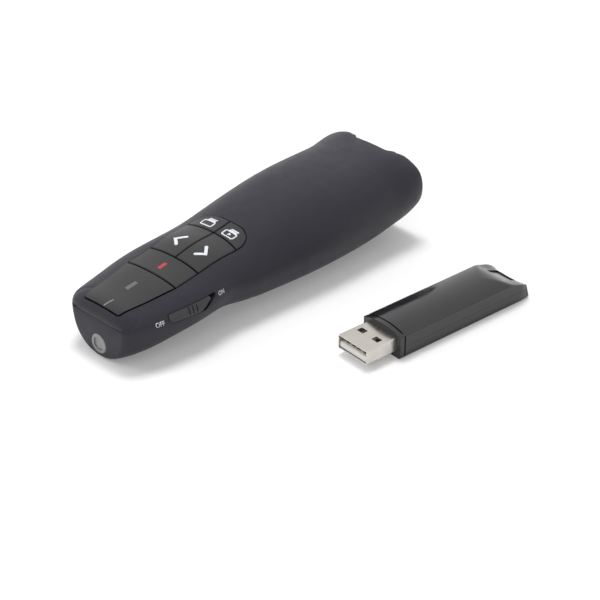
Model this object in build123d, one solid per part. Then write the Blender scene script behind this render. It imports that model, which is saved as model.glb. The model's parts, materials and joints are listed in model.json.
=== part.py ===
from build123d import *
import math
import os

# A hand-held presentation clicker and the USB receiver that stows in its tail.
# +X points out of the nose, +Y to the user's left (the power switch side), +Z up.
# The origin is the middle of the flat that the belly rests on. All sizes are in millimetres.

# ------------------------------------------------------------------ handset, outside
LENGTH = 114.0
WIDTH = 39.8
HEIGHT = 26.8
WALL = 1.8
ORIGIN_FROM_TAIL = 38.0
GRIP_HALF_WIDTH = 17.4
NOSE_HALF_WIDTH = 9.8
NOSE_HEIGHT = 13.4
TAIL_HALF_WIDTH = 17.7
TAIL_HEIGHT = 25.7
CROWN_EXPONENT = 2.5
KEEL_EXPONENT = 2.1
SECTION_POINTS = 16
BELLY_DEPTH = 0.25
PARTING_Z = 8.5
NOSE_ROUND = 0.8
TAIL_ROUND = 1.5
NOSE_BLEND = 9.0
NOTCH_HALF_WIDTH = 9.0
NOTCH_FLOOR_HALF_WIDTH = 6.4
NOTCH_DEPTH = 3.0
NOTCH_ROUND = 1.6
LIP_HEIGHT = 1.2
LIP_ROOT = 1.0
LIP_THICKNESS = 0.8
LIP_GAP = 0.1

# ------------------------------------------------------------------ keypad, measured back from the nose
KEYPAD_START = 1.5
KEYPAD_START_HALF_WIDTH = 7.4
KEYPAD_FLANK = 20.3
KEYPAD_FLANK_HALF_WIDTH = 10.2
KEYPAD_END = 51.4
KEYPAD_HALF_WIDTH = 10.5
KEYPAD_FRONT_ROUND = 1.2
KEYPAD_REAR_ROUND = 6.8
LASER_KEY_START = 20.3
PAGE_KEYS_START = 28.8
SHOW_KEYS_START = 43.4
LASER_KEY_BOW = 0.4
PAGE_KEYS_BOW = 0.7
SHOW_KEYS_BOW = 1.2
KEY_GAP = 0.4
RIM_GAP = 0.3
KEY_PROUD = 0.3
KEY_EDGE = 0.25
KEY_TRAVEL = 0.5
KEY_RIM = 1.1
KEY_FLANGE = 0.6
KEY_FLANGE_THICKNESS = 0.7
KEY_FLANGE_DROP = 0.4

# ------------------------------------------------------------------ circuit board and what it carries
BOARD_TILT = 8.0
BOARD_Z = 10.1
BOARD_START = 6.0
BOARD_END = 51.0
BOARD_HALF_WIDTH = 10.6
BOARD_THICKNESS = 1.2
KEY_RISE = 5.5
KEY_UNDERSIDE = 2.6
PANEL_FLOOR = 4.1
PANEL_SEAT_THICKNESS = 1.0
PANEL_SEAT_MARGIN = 0.6
TACT_SIZE = 4.5
TACT_HEIGHT = 1.8
TACT_WELL = 1.2
STEM_RADIUS = 1.2
STEM_FIT = 0.1
PAGE_TACT_Y = 5.3
LASER_TACT_BACK = 24.6
PAGE_TACT_BACK = 36.2
SHOW_TACT_BACK = 46.2
LED_BACK = 13.0
LED_HEIGHT = 0.7
PIPE_RADIUS = 0.7
WINDOW_LENGTH = 4.0
WINDOW_WIDTH = 1.5
FIT = 0.05
CHIP_SIZE = 5.0
CHIP_HEIGHT = 0.9
CHIP_BACK = 31.0
CRYSTAL_LENGTH = 3.2
CRYSTAL_WIDTH = 2.5
CRYSTAL_BACK = 38.0
BOARD_SCREW_BACK = 9.5
BOARD_SCREW_Y = 7.2
BOARD_BOSS_RADIUS = 1.7
BOARD_SCREW_RADIUS = 0.7
BOARD_SCREW_HEAD_RADIUS = 1.3
BOARD_SCREW_HEAD = 0.9
BOARD_SCREW_REACH = 2.6
BOARD_HOLE_REACH = 2.9
BOARD_BOSS_TOP = 3.6
BOARD_CORNER = 1.0
BOARD_HOLE_ROOM = 0.1
CRYSTAL_HEIGHT = 0.8
LED_LENGTH = 1.6
LED_WIDTH = 0.8

# ------------------------------------------------------------------ laser
LASER_Z = 4.6
BEZEL_RADIUS = 3.1
BEZEL_BORE = 2.0
BEZEL_DEPTH = 0.8
BEZEL_EDGE = 0.2
LASER_RADIUS = 2.6
LASER_START = 3.0
LASER_LENGTH = 10.2
BEZEL_PROUD = 0.1
LENS_SETBACK = 0.35
LENS_THICKNESS = 1.0
LASER_WALL = 1.0
LASER_CUP = 1.5
LASER_GROOVE = (2.4, 3.0)
LASER_GROOVE_DEPTH = 0.3
LASER_LEAD_RADIUS = 0.3
LASER_LEAD_Y = 0.9
LASER_LEAD_INSET = 1.2
LASER_LEAD_BED = 0.05
CRADLE_RIBS = (5.0, 9.5)
CRADLE_RIB_THICKNESS = 1.0
CRADLE_HALF_WIDTH = 4.0
CRADLE_TOP = 5.3

# ------------------------------------------------------------------ power switch, on the left flank
SWITCH_START = 11.2
SWITCH_TOP_LENGTH = 19.1
SWITCH_TOP_Z = 14.9
SWITCH_TOP_RISE = 1.3
SWITCH_BOTTOM_Z = 12.4
SWITCH_BOTTOM_START = 13.5
SWITCH_BOTTOM_LENGTH = 11.1
SWITCH_TRAVEL = 1.5
SWITCH_INNER_Y = 12.0
SWITCH_GAP = 0.15
SLIDER_LAP = 0.8
SLIDER_ROOM = 0.25
SWITCH_RIB_BACK = 20.4
SWITCH_RIB_PITCH = 1.3
SWITCH_RIB_DEPTH = 0.35
SWITCH_RIB_WIDTH = 0.4
SWITCH_RIB_Z = (13.1, 15.2)
FORK_HALF_LENGTH = 2.4
FORK_Y = (11.2, 15.0)
FORK_Z = (12.9, 15.3)
SLIDE_BODY_START = 12.0
SLIDE_BODY_LENGTH = 8.5
SLIDE_BODY_WIDTH = 3.8
SLIDE_BODY_HEIGHT = 3.0
SLIDE_BODY_INSET = 0.2
SLIDE_SLOT_ROOM = 0.4
SLIDE_SLOT_HEIGHT = (0.6, 2.7)
LEVER_ROOT = 1.2
LEVER_RISE = 1.75
LEVER_THICKNESS = 1.0
LEVER_WIDTH = 1.6
LEVER_REACH = 13.4

# ------------------------------------------------------------------ batteries, two AAA side by side
BATTERY_RADIUS = 5.25
BATTERY_LENGTH = 44.5
BATTERY_EDGE = 0.4
BATTERY_NUB_LENGTH = 1.0
BATTERY_NUB_RADIUS = 1.8
BATTERY_Y = 5.45
BATTERY_Z = 8.2
BATTERY_ROOM = 0.25
SPRING_LENGTH = 3.6
SPRING_WIRE = 0.45
SPRING_RADIUS = 3.2
SPRING_CONE = 20.0
SPRING_TURNS = 3
CONTACT_THICKNESS = 0.3
CONTACT_HALF_WIDTH = 4.2
CONTACT_HEIGHT = 8.0
CONTACT_LIFT = 0.3
CONTACT_TAB_WIDTH = 2.0
CONTACT_TAB_ROOM = 0.1
CONTACT_BRIDGE = 2.0
TRAY_WALL = 0.8
TRAY_WALL_GAP = 0.4
TRAY_TAIL_GAP = 0.15
TRAY_REAR_INSET = 1.0
TRAY_REAR_LOW = 4.2
TRAY_FOOT_REACH = 2.3
TRAY_FOOT_THICKNESS = 1.0
TRAY_FOOT_SETBACK = (3.0, 1.0)
TRAY_SPINE_HALF = 1.0
TRAY_SPINE_DEPTH = 1.6
REST_LENGTH = 2.6
REST_WIDTH = 2.0
REST_DEPTH = 2.5
REST_Y = 8.0
CELL_END_FROM_TAIL = 15.8

# ------------------------------------------------------------------ battery door
DOOR_LENGTH = 56.0
DOOR_HALF_WIDTH = 11.7
DOOR_GAP = 0.12
DOOR_RIB_THICKNESS = 0.9
RAIL_Z = 6.1
RAIL_THICKNESS = 0.8
RAIL_REACH = 0.9
RAIL_GAP = 0.15
RAIL_BLOCK_REACH = 2.3
RAIL_BLOCK_FROM_TAIL = 7.0
RAIL_END_GAP = 0.2
RAIL_FROM_TAIL = 10.0
RAIL_SETBACK = 1.0
RAIL_ROOT = 0.5
DOOR_TONGUE_LENGTH = 2.5
DOOR_TONGUE_ROOT = 4.0
DOOR_TONGUE_STEP = 2.0
DOOR_TONGUE_HALF = 2.0
DOOR_TONGUE_THICKNESS = 0.8
DOOR_TONGUE_RISE = 1.0
DOOR_GRIP_COUNT = 4
DOOR_GRIP_PITCH = 2.2
DOOR_GRIP_RADIUS = 0.56
DOOR_GRIP_LENGTH = 12.0

# ------------------------------------------------------------------ receiver
RECEIVER_LENGTH = 50.5
RECEIVER_WIDTH = 15.4
RECEIVER_HEIGHT = 8.4
RECEIVER_SIDE = 7.0
RECEIVER_SEAM_Z = 3.6
RECEIVER_WALL = 1.0
RECEIVER_END_BULGE = 1.8
RECEIVER_END_SLOPE = 6.5
RECEIVER_END_HEIGHT = 3.9
COLLAR_LENGTH = 1.7
COLLAR_GROOVE = 0.25
RECEIVER_CORNER = 0.8
THUMB_WIDTH = 7.4
THUMB_LENGTH = 4.2
THUMB_FLOOR = 3.9
THUMB_RISE = 1.2
THUMB_FALL = 0.9
THUMB_LIP = 0.7
THUMB_SKIN = 0.8
RECEIVER_RIBS = (11.0, 29.0)
RECEIVER_RIB_Y = 3.0
RECEIVER_BOARD_Z = 2.6
RECEIVER_BOARD_THICKNESS = 0.8
RECEIVER_BOARD_END = 38.0
RECEIVER_CHIP_BACK = 18.0
RECEIVER_CHIP_SIZE = 4.0
RECEIVER_CHIP_HEIGHT = 0.85
PLUG_WIDTH = 12.0
PLUG_HEIGHT = 4.5
PLUG_LENGTH = 11.0
PLUG_BURIED = 6.0
PLUG_SKIN = 0.32
PLUG_ROUND = 0.5
PLUG_BOTTOM = 1.95
PLUG_HOLE = 2.0
PLUG_HOLE_LENGTH = 2.5
PLUG_HOLE_BACK = 6.3
PLUG_HOLE_PITCH = 6.1
TONGUE_HEIGHT = 1.95
TONGUE_SIDE_GAP = 0.15
TONGUE_SETBACK = 0.3
TONGUE_ROOT = 4.0
PAD_WIDTH = 1.0
PAD_THICKNESS = 0.12
PAD_SETBACK = 1.2
CONTACT_PADS_Y = (-3.5, -1.0, 1.0, 3.5)
# where the receiver lies beside the handset: its plug's root, and how far it is turned
RECEIVER_BACK = 58.6
RECEIVER_Y = 53.1
RECEIVER_TURN = -5.4

# ------------------------------------------------------------------ receiver bay in the tail
BAY_ROOM = 0.4
BAY_FLOOR_THICKNESS = 0.8
BAY_WALL = 1.0
WELL_WALL_HEIGHT = 3.6
WELL_ROOM = 0.8
WELL_STEP = 0.6
BAY_MOUTH_ROUND = 0.8

# ------------------------------------------------------------------ housing screws
SCREW_RADIUS = 1.0
SCREW_HEAD_RADIUS = 1.9
SCREW_HEAD_HEIGHT = 1.2
SCREW_LENGTH = 8.0
BOSS_RADIUS = 2.0
FRONT_SCREW_BACK = 46.0
FRONT_SCREW_Y = 13.0
REAR_SCREW_FROM_TAIL = 10.0
REAR_SCREW_Y = 15.0
FRONT_SCREW_SEAT = 1.2
REAR_SCREW_SEAT = 0.9
SCREW_HEAD_GAP = 0.2
SCREW_TIP_ROOM = 0.4
SCREW_HOLE_ROOM = 0.2
BOSS_SEAT_WALL = 0.3
BOSS_LIP_ROOM = 0.15
RECESS_LENGTH = 2.0
RECESS_WIDTH = 0.5
RECESS_DEPTH = 0.6

BIG = 200.0
FRONT_X = LENGTH - ORIGIN_FROM_TAIL
TAIL_X = -ORIGIN_FROM_TAIL
SIN_TILT = math.sin(math.radians(BOARD_TILT))
COS_TILT = math.cos(math.radians(BOARD_TILT))
BAY_FLOOR_Z = BATTERY_Z + BATTERY_RADIUS + 0.1 + BAY_FLOOR_THICKNESS
CELL_END = TAIL_X + CELL_END_FROM_TAIL
CELL_START = CELL_END + BATTERY_LENGTH + SPRING_LENGTH + 2 * CONTACT_THICKNESS
DOOR_START = TAIL_X + DOOR_LENGTH
EVERYWHERE = (-BIG, BIG)

# Each station: distance back from the nose, half width, top, underside, share of the height
# at which the section is widest. The first six belong to the nose and keypad, the rest to the palm.
STATIONS = [
    (0.0, NOSE_HALF_WIDTH, NOSE_HEIGHT, 0.9, 0.80),
    (1.4, 12.3, 16.0, 0.3, 0.77),
    (4.0, 14.0, 16.8, 0.3, 0.74),
    (9.0, 15.6, 17.2, 0.9, 0.69),
    (18.0, 17.1, 18.3, 2.5, 0.63),
    (30.0, GRIP_HALF_WIDTH, 20.1, 3.7, 0.59),
    (43.0, GRIP_HALF_WIDTH, 21.7, 2.0, 0.53),
    (LENGTH - 57.0, WIDTH / 2 - 1.5, HEIGHT - 2.8, 0.4, 0.51),
    (LENGTH - 43.0, WIDTH / 2 - 0.4, HEIGHT - 0.9, -BELLY_DEPTH, 0.51),
    (LENGTH - 28.0, WIDTH / 2, HEIGHT, -BELLY_DEPTH, 0.52),
    (LENGTH - 16.0, WIDTH / 2 - 0.1, HEIGHT - 0.1, 1.0, 0.51),
    (LENGTH - 6.5, WIDTH / 2 - 0.8, HEIGHT - 0.2, 3.2, 0.52),
    (LENGTH, TAIL_HALF_WIDTH, TAIL_HEIGHT, 5.9, 0.54),
]


def from_nose(distance):
    """X of a place that far back from the nose."""
    return FRONT_X - distance


def block(x_range, y_range, z_range):
    """A box between two X, two Y and two Z values."""
    (x0, x1), (y0, y1), (z0, z1) = x_range, y_range, z_range
    size = Box(abs(x1 - x0), abs(y1 - y0), abs(z1 - z0))
    return Pos((x0 + x1) / 2, (y0 + y1) / 2, (z0 + z1) / 2) * size


def separate(pieces):
    """Several pieces that stay separate solids of one node."""
    return Compound([solid for piece in pieces for solid in piece.solids()])


def slab(z_low, z_high):
    """All of the space between two heights."""
    return block(EVERYWHERE, EVERYWHERE, (z_low, z_high))


def both_sides(shape):
    """The shape and its mirror image across the middle plane."""
    return shape + mirror(shape, Plane.XZ)


def tube(radius, x_start, x_end, y=0.0, z=0.0):
    """A cylinder along X."""
    length = abs(x_end - x_start)
    return Pos((x_start + x_end) / 2, y, z) * Rot(0, 90, 0) * Cylinder(radius, length)


def post(radius, x, y, z_low, z_high):
    """A cylinder along Z."""
    return Pos(x, y, (z_low + z_high) / 2) * Cylinder(radius, z_high - z_low)


# ------------------------------------------------------------------ the lofted form
def section(back, half_width, top, underside, shoulder, inset):
    """Closed outline across the handset, inset evenly: a squarer crown over a rounder keel."""
    middle = underside + shoulder * (top - underside)
    half_width -= inset
    top -= inset
    underside += inset
    points = []
    for step in range(SECTION_POINTS):
        angle = 2 * math.pi * step / SECTION_POINTS + math.pi / 2
        across, up = math.cos(angle), math.sin(angle)
        exponent = CROWN_EXPONENT if up > 0 else KEEL_EXPONENT
        reach = top - middle if up > 0 else middle - underside
        y = half_width * math.copysign(abs(across) ** (2 / exponent), across)
        z = middle + reach * math.copysign(abs(up) ** (2 / exponent), up)
        points.append((from_nose(back), y, z))
    knots = [step / SECTION_POINTS for step in range(SECTION_POINTS + 1)]
    return Wire([Edge.make_spline(points, periodic=True, parameters=knots)])


def form(inset=0.0):
    """The handset's solid form, or the same form with every wall moved in by inset."""
    outlines = []
    for back, half_width, top, underside, shoulder in STATIONS:
        if back < NOSE_BLEND:
            back += inset * (1 - back / NOSE_BLEND)
        if back == LENGTH:
            back -= inset
        outlines.append(section(back, half_width, top, underside, shoulder, inset))
    return Solid.make_loft(outlines)


def rounded_form():
    """The outside: the form with its nose and tail edges rounded, cut flat where it rests."""
    solid = form()
    tail_edge = [edge for edge in solid.edges() if abs(edge.center().X - TAIL_X) < FIT]
    solid = solid.fillet(TAIL_ROUND, tail_edge)
    nose_edge = [edge for edge in solid.edges() if abs(edge.center().X - FRONT_X) < FIT]
    solid = solid.fillet(NOSE_ROUND, nose_edge)
    return solid & slab(0, BIG)


OUTSIDE = rounded_form()
INSIDE = form(WALL)
CLEAR_INSIDE = form(WALL + LIP_GAP)
LIP_INSIDE = form(WALL + LIP_GAP + LIP_THICKNESS)
PROUD = form(-KEY_PROUD)


# ------------------------------------------------------------------ the board's own frame
BOARD = Location((FRONT_X, 0, BOARD_Z), (0, BOARD_TILT, 0))


def along_board(back):
    """Distance along the board below a point of the key tops that far back from the nose."""
    return (back + KEY_RISE * SIN_TILT) / COS_TILT


def board_height(back):
    """Height of the board's upper face, that far back from the nose."""
    return BOARD_Z + back * SIN_TILT / COS_TILT


def on_board(shape):
    """Place a shape drawn with X back to front along the board and Z up from its face."""
    return BOARD * shape


def board_block(back_range, y_range, height_range):
    """A box on the board, between two distances back from the nose."""
    (u0, u1) = back_range
    return on_board(block((-u0, -u1), y_range, height_range))


def board_post(radius, back, y, low, high):
    """A cylinder standing on the board."""
    return on_board(post(radius, -back, y, low, high))


# ------------------------------------------------------------------ keypad
def keypad_outline():
    """The whole keypad seen square to the board: straight flanks, a nearly round rear."""
    start = -along_board(KEYPAD_START)
    flank = -along_board(KEYPAD_FLANK)
    end = -along_board(KEYPAD_END)
    outline = make_face(Polyline(
        (start, KEYPAD_START_HALF_WIDTH), (flank, KEYPAD_FLANK_HALF_WIDTH), (end, KEYPAD_HALF_WIDTH),
        (end, -KEYPAD_HALF_WIDTH), (flank, -KEYPAD_FLANK_HALF_WIDTH), (start, -KEYPAD_START_HALF_WIDTH),
        close=True,
    ))
    front = [v for v in outline.vertices() if abs(v.X - start) < FIT]
    outline = fillet(front, KEYPAD_FRONT_ROUND)
    rear = [v for v in outline.vertices() if abs(v.X - end) < FIT]
    return fillet(rear, KEYPAD_REAR_ROUND)


def seam(back, bow):
    """A seam between keys, bowed towards the tail."""
    x = -along_board(back)
    reach = 2 * KEYPAD_HALF_WIDTH
    drop = bow * (reach / KEYPAD_HALF_WIDTH) ** 2
    return (x - bow + drop, reach), (x - bow, 0), (x - bow + drop, -reach)


def band(start_seam, end_seam):
    """The strip of the keypad between two seams, half a key gap inside each."""
    half = KEY_GAP / 2
    first = [(x - half, y) for x, y in start_seam]
    last = [(x + half, y) for x, y in end_seam]
    return make_face([
        ThreePointArc(*first),
        Line(first[2], last[2]),
        ThreePointArc(last[2], last[1], last[0]),
        Line(last[0], first[0]),
    ])


def half_plane(side):
    """The half of the keypad on one side of the middle seam."""
    y0, y1 = sorted((side * KEY_GAP / 2, side * BIG))
    return Pos(0, (y0 + y1) / 2) * Rectangle(2 * BIG, y1 - y0)


KEYPAD = keypad_outline()
KEY_OUTLINE = offset(KEYPAD, -RIM_GAP, kind=Kind.INTERSECTION)
FLANGE_OUTLINE = offset(KEYPAD, KEY_FLANGE, kind=Kind.INTERSECTION)
RIM_OUTLINE = offset(KEYPAD, -RIM_GAP - KEY_RIM, kind=Kind.INTERSECTION)
OPEN_SEAM = seam(-10, LASER_KEY_BOW)
END_SEAM = seam(KEYPAD_END + 10, SHOW_KEYS_BOW)
LASER_SEAM = seam(LASER_KEY_START, LASER_KEY_BOW)
PAGE_SEAM = seam(PAGE_KEYS_START, PAGE_KEYS_BOW)
SHOW_SEAM = seam(SHOW_KEYS_START, SHOW_KEYS_BOW)


def prism(sketch, low, high):
    """A sketch drawn on the board's plane, raised between two heights."""
    return on_board(Pos(0, 0, low) * extrude(sketch, high - low))


def softened_top(solid, size):
    """Bevel the edges of a key's upper face."""
    top = solid.faces().sort_by(Axis.Z)[-1]
    return chamfer(top.edges(), size)


def key(sector):
    """A key cap: a crowned top on a hollow rim, with a flange that keeps it under the shell."""
    cap = prism(sector & KEY_OUTLINE, KEY_UNDERSIDE, BIG / 4) & PROUD
    cap = softened_top(cap, KEY_EDGE)
    flange_low = KEY_UNDERSIDE - KEY_FLANGE_THICKNESS - KEY_FLANGE_DROP
    rim = prism((sector & KEY_OUTLINE) - RIM_OUTLINE, flange_low, KEY_UNDERSIDE)
    flange_high = flange_low + KEY_FLANGE_THICKNESS
    flange = prism((sector & FLANGE_OUTLINE) - RIM_OUTLINE, flange_low, flange_high)
    return cap + rim + flange


PAGE_BAND = band(PAGE_SEAM, SHOW_SEAM)
SHOW_BAND = band(SHOW_SEAM, END_SEAM)
KEYS = {
    "laser_key": (band(LASER_SEAM, PAGE_SEAM), LASER_TACT_BACK, 0),
    "back_key": (PAGE_BAND & half_plane(1), PAGE_TACT_BACK, PAGE_TACT_Y),
    "forward_key": (PAGE_BAND & half_plane(-1), PAGE_TACT_BACK, -PAGE_TACT_Y),
    "slideshow_key": (SHOW_BAND & half_plane(1), SHOW_TACT_BACK, PAGE_TACT_Y),
    "blank_key": (SHOW_BAND & half_plane(-1), SHOW_TACT_BACK, -PAGE_TACT_Y),
}


def tact_bodies():
    """The five key switches' square bodies, each with a well for its stem."""
    half = TACT_SIZE / 2
    bodies = []
    for _, back, y in KEYS.values():
        u = along_board(back)
        body = board_block((u - half, u + half), (y - half, y + half), (0, TACT_HEIGHT))
        well = board_post(STEM_RADIUS + STEM_FIT, u, y, TACT_HEIGHT - TACT_WELL, TACT_HEIGHT + 1)
        bodies.append(body - well)
    return separate(bodies)


def stem(back, y):
    """The round stem that a key presses into its switch."""
    low = TACT_HEIGHT - TACT_WELL + KEY_TRAVEL + STEM_FIT
    return board_post(STEM_RADIUS, along_board(back), y, low, KEY_UNDERSIDE - FIT)


def indicator_panel():
    """The fixed glossy panel ahead of the keys, with a slot for the indicator's window."""
    sector = band(OPEN_SEAM, LASER_SEAM) & KEY_OUTLINE
    panel = softened_top(prism(sector, PANEL_FLOOR, BIG / 4) & PROUD, KEY_EDGE)
    return panel - window_block(FIT)


def window_block(room):
    """The rectangular head of the light pipe, grown by room."""
    u = along_board(LED_BACK)
    half_length = WINDOW_LENGTH / 2 + room
    half_width = WINDOW_WIDTH / 2 + room
    along = (u - half_length, u + half_length)
    return board_block(along, (-half_width, half_width), (PANEL_FLOOR, BIG / 4))


def light_pipe():
    """A clear pipe that carries the indicator's light up to the panel's surface."""
    foot = board_post(PIPE_RADIUS, along_board(LED_BACK), 0, LED_HEIGHT + FIT, PANEL_FLOOR)
    return foot + (window_block(0) & PROUD)


# ------------------------------------------------------------------ power switch
def switch_outline(grow, rear_shift=0.0):
    """The slider's boat-shaped outline in the XZ plane: rounded front, raked rear end."""
    slope = SWITCH_TOP_RISE / SWITCH_TOP_LENGTH
    top_end = SWITCH_START + SWITCH_TOP_LENGTH
    low_end = SWITCH_BOTTOM_START + SWITCH_BOTTOM_LENGTH
    rake = (top_end - low_end) / (SWITCH_TOP_Z + SWITCH_TOP_RISE - SWITCH_BOTTOM_Z)
    spread = math.hypot(1, rake)
    top_end += grow * (spread + rake) - rear_shift
    low_end += grow * (spread - rake) - rear_shift
    top_start = SWITCH_START - grow
    low_start = SWITCH_BOTTOM_START - grow / 2
    top_front = (from_nose(top_start), SWITCH_TOP_Z + grow)
    top_rear = (from_nose(top_end), SWITCH_TOP_Z + grow + slope * (top_end - top_start))
    low_rear = (from_nose(low_end), SWITCH_BOTTOM_Z - grow)
    low_front = (from_nose(low_start), SWITCH_BOTTOM_Z - grow)
    outline = make_face(Polyline(top_front, top_rear, low_rear, low_front, close=True))
    front = outline.vertices().sort_by(Axis.X)[2:]
    outline = fillet(front, 1.0 + grow / 4)
    rear = outline.vertices().sort_by(Axis.X)[:2]
    return fillet(rear, 0.5)


def through_flank(sketch, y_low, y_high):
    """A sketch drawn in XZ, extruded across the left flank."""
    solid = extrude(sketch, y_high - y_low)
    return Pos(0, y_high, 0) * Rot(90, 0, 0) * solid


def power_slider():
    """The thumb slider: flush with the flank, ribbed, with a retaining plate and a fork inside."""
    wide = (SWITCH_INNER_Y, WIDTH)
    skin = (through_flank(switch_outline(-SWITCH_GAP, SWITCH_TRAVEL), *wide) & OUTSIDE) - LIP_INSIDE
    for count in (-1, 0, 1):
        x = from_nose(SWITCH_RIB_BACK + count * SWITCH_RIB_PITCH)
        groove = block((x - SWITCH_RIB_WIDTH / 2, x + SWITCH_RIB_WIDTH / 2), wide, SWITCH_RIB_Z)
        skin -= groove - form(SWITCH_RIB_DEPTH)
    plate = through_flank(switch_outline(SLIDER_LAP, SWITCH_TRAVEL + 3 * SLIDER_LAP), *wide)
    plate = (plate & form(WALL + SLIDER_ROOM)) - LIP_INSIDE
    lever_x = from_nose(lever_back())
    fork_x = (lever_x - FORK_HALF_LENGTH, lever_x + FORK_HALF_LENGTH)
    fork = block(fork_x, FORK_Y, FORK_Z) & CLEAR_INSIDE
    slot_half = LEVER_WIDTH / 2 + FIT
    slot = block((lever_x - slot_half, lever_x + slot_half), (0, LEVER_REACH + 2 * FIT), (0, HEIGHT))
    return skin + plate + fork - slot


def lever_back():
    """Distance back from the nose of the slide switch's lever when it is off."""
    return SLIDE_BODY_START + SLIDE_BODY_LENGTH / 2 - SWITCH_TRAVEL / 2


def slide_switch_body():
    """The slide switch's case on the board's left edge, with a slot for its lever."""
    y_outer = BOARD_HALF_WIDTH - SLIDE_BODY_INSET
    case = board_block(
        (SLIDE_BODY_START, SLIDE_BODY_START + SLIDE_BODY_LENGTH),
        (y_outer - SLIDE_BODY_WIDTH, y_outer), (0, SLIDE_BODY_HEIGHT),
    )
    middle = SLIDE_BODY_START + SLIDE_BODY_LENGTH / 2
    half = (LEVER_WIDTH + SWITCH_TRAVEL) / 2 + SLIDE_SLOT_ROOM
    slot_y = (y_outer - LEVER_ROOT, y_outer + 1)
    return case - board_block((middle - half, middle + half), slot_y, SLIDE_SLOT_HEIGHT)


def slide_switch_lever():
    """The lever that the thumb slider carries along."""
    x = from_nose(lever_back())
    z = board_height(lever_back()) + LEVER_RISE
    y_range = (BOARD_HALF_WIDTH - LEVER_ROOT, LEVER_REACH)
    half = LEVER_THICKNESS / 2
    return block((x - LEVER_WIDTH / 2, x + LEVER_WIDTH / 2), y_range, (z - half, z + half))


# ------------------------------------------------------------------ laser
LASER = Location((FRONT_X, 0, LASER_Z), (0, BOARD_TILT, 0))


def laser_tube(radius, start, end):
    """A cylinder on the laser's axis, between two distances back from the nose."""
    return LASER * tube(radius, -start, -end)


def laser_module():
    """The brass barrel with its stepped front and the driver board behind it."""
    end = LASER_START + LASER_LENGTH
    barrel = laser_tube(LASER_RADIUS, LASER_START, end)
    barrel -= laser_tube(LASER_RADIUS - LASER_WALL, LASER_START - 1, LASER_START + LASER_CUP)
    low, high = LASER_GROOVE
    groove = laser_tube(LASER_RADIUS + 1, end - high, end - low)
    groove -= laser_tube(LASER_RADIUS - LASER_GROOVE_DEPTH, LASER_START, end)
    return barrel - groove


def laser_leads():
    """Two short leads from the laser module up to the main board."""
    back = LASER_START + LASER_LENGTH - LASER_LEAD_INSET
    low = LASER_Z + back * SIN_TILT + LASER_RADIUS - LASER_LEAD_BED
    high = board_height(back) - BOARD_THICKNESS / COS_TILT - FIT
    leads = [post(LASER_LEAD_RADIUS, from_nose(back), side * LASER_LEAD_Y, low, high) for side in (-1, 1)]
    return separate(leads)


def laser_bezel():
    """The ring that frames the laser's window in the nose."""
    ring = tube(BEZEL_RADIUS - FIT, FRONT_X + BEZEL_PROUD, FRONT_X - BEZEL_DEPTH, z=LASER_Z)
    ring = chamfer(ring.edges().group_by(Axis.X)[-1], BEZEL_EDGE)
    return ring - tube(BEZEL_BORE, FRONT_X + 1, FRONT_X - 2, z=LASER_Z)


def laser_window():
    """The clear disc inside the ring."""
    face = FRONT_X - LENS_SETBACK
    return tube(BEZEL_BORE - FIT, face, face - LENS_THICKNESS, z=LASER_Z)


def laser_cradle():
    """Two ribs of the lower shell that the laser barrel lies in."""
    across = (-CRADLE_HALF_WIDTH, CRADLE_HALF_WIDTH)
    first, second = (
        block((from_nose(back), from_nose(back + CRADLE_RIB_THICKNESS)), across, (0, CRADLE_TOP))
        for back in CRADLE_RIBS
    )
    return first + second - laser_tube(LASER_RADIUS + FIT, 0, LASER_START + LASER_LENGTH)


# ------------------------------------------------------------------ screws and bosses
def screw_places():
    """X and Y of the four housing screws, and the height at which each head seats."""
    front = from_nose(FRONT_SCREW_BACK)
    rear = TAIL_X + REAR_SCREW_FROM_TAIL
    for side in (-1, 1):
        yield front, side * FRONT_SCREW_Y, PARTING_Z - FRONT_SCREW_SEAT
        yield rear, side * REAR_SCREW_Y, PARTING_Z - REAR_SCREW_SEAT


def housing_screws():
    """Pan-head screws that draw the shells together, each with a cross recess."""
    screws = []
    for x, y, seat in screw_places():
        head = post(SCREW_HEAD_RADIUS - SCREW_HEAD_GAP, x, y, seat - SCREW_HEAD_HEIGHT, seat)
        recess = Box(RECESS_LENGTH, RECESS_WIDTH, 2 * RECESS_DEPTH)
        recess += Box(RECESS_WIDTH, RECESS_LENGTH, 2 * RECESS_DEPTH)
        head -= Pos(x, y, seat - SCREW_HEAD_HEIGHT) * recess
        screws.append(head + post(SCREW_RADIUS, x, y, seat - FIT, seat + SCREW_LENGTH))
    return separate(screws)


def board_bosses():
    """Posts under the panel seat that carry the front of the board."""
    for side in (-1, 1):
        yield board_post(BOARD_BOSS_RADIUS, BOARD_SCREW_BACK, side * BOARD_SCREW_Y, 0, BOARD_BOSS_TOP)


def board_screws():
    """Two small screws that hold the front of the board."""
    screws = []
    for side in (-1, 1):
        y = side * BOARD_SCREW_Y
        head_low = -BOARD_THICKNESS - BOARD_SCREW_HEAD
        head = board_post(BOARD_SCREW_HEAD_RADIUS, BOARD_SCREW_BACK, y, head_low, -BOARD_THICKNESS)
        shank_low = -BOARD_THICKNESS - FIT
        shank = board_post(BOARD_SCREW_RADIUS, BOARD_SCREW_BACK, y, shank_low, BOARD_SCREW_REACH)
        screws.append(head + shank)
    return separate(screws)


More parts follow.
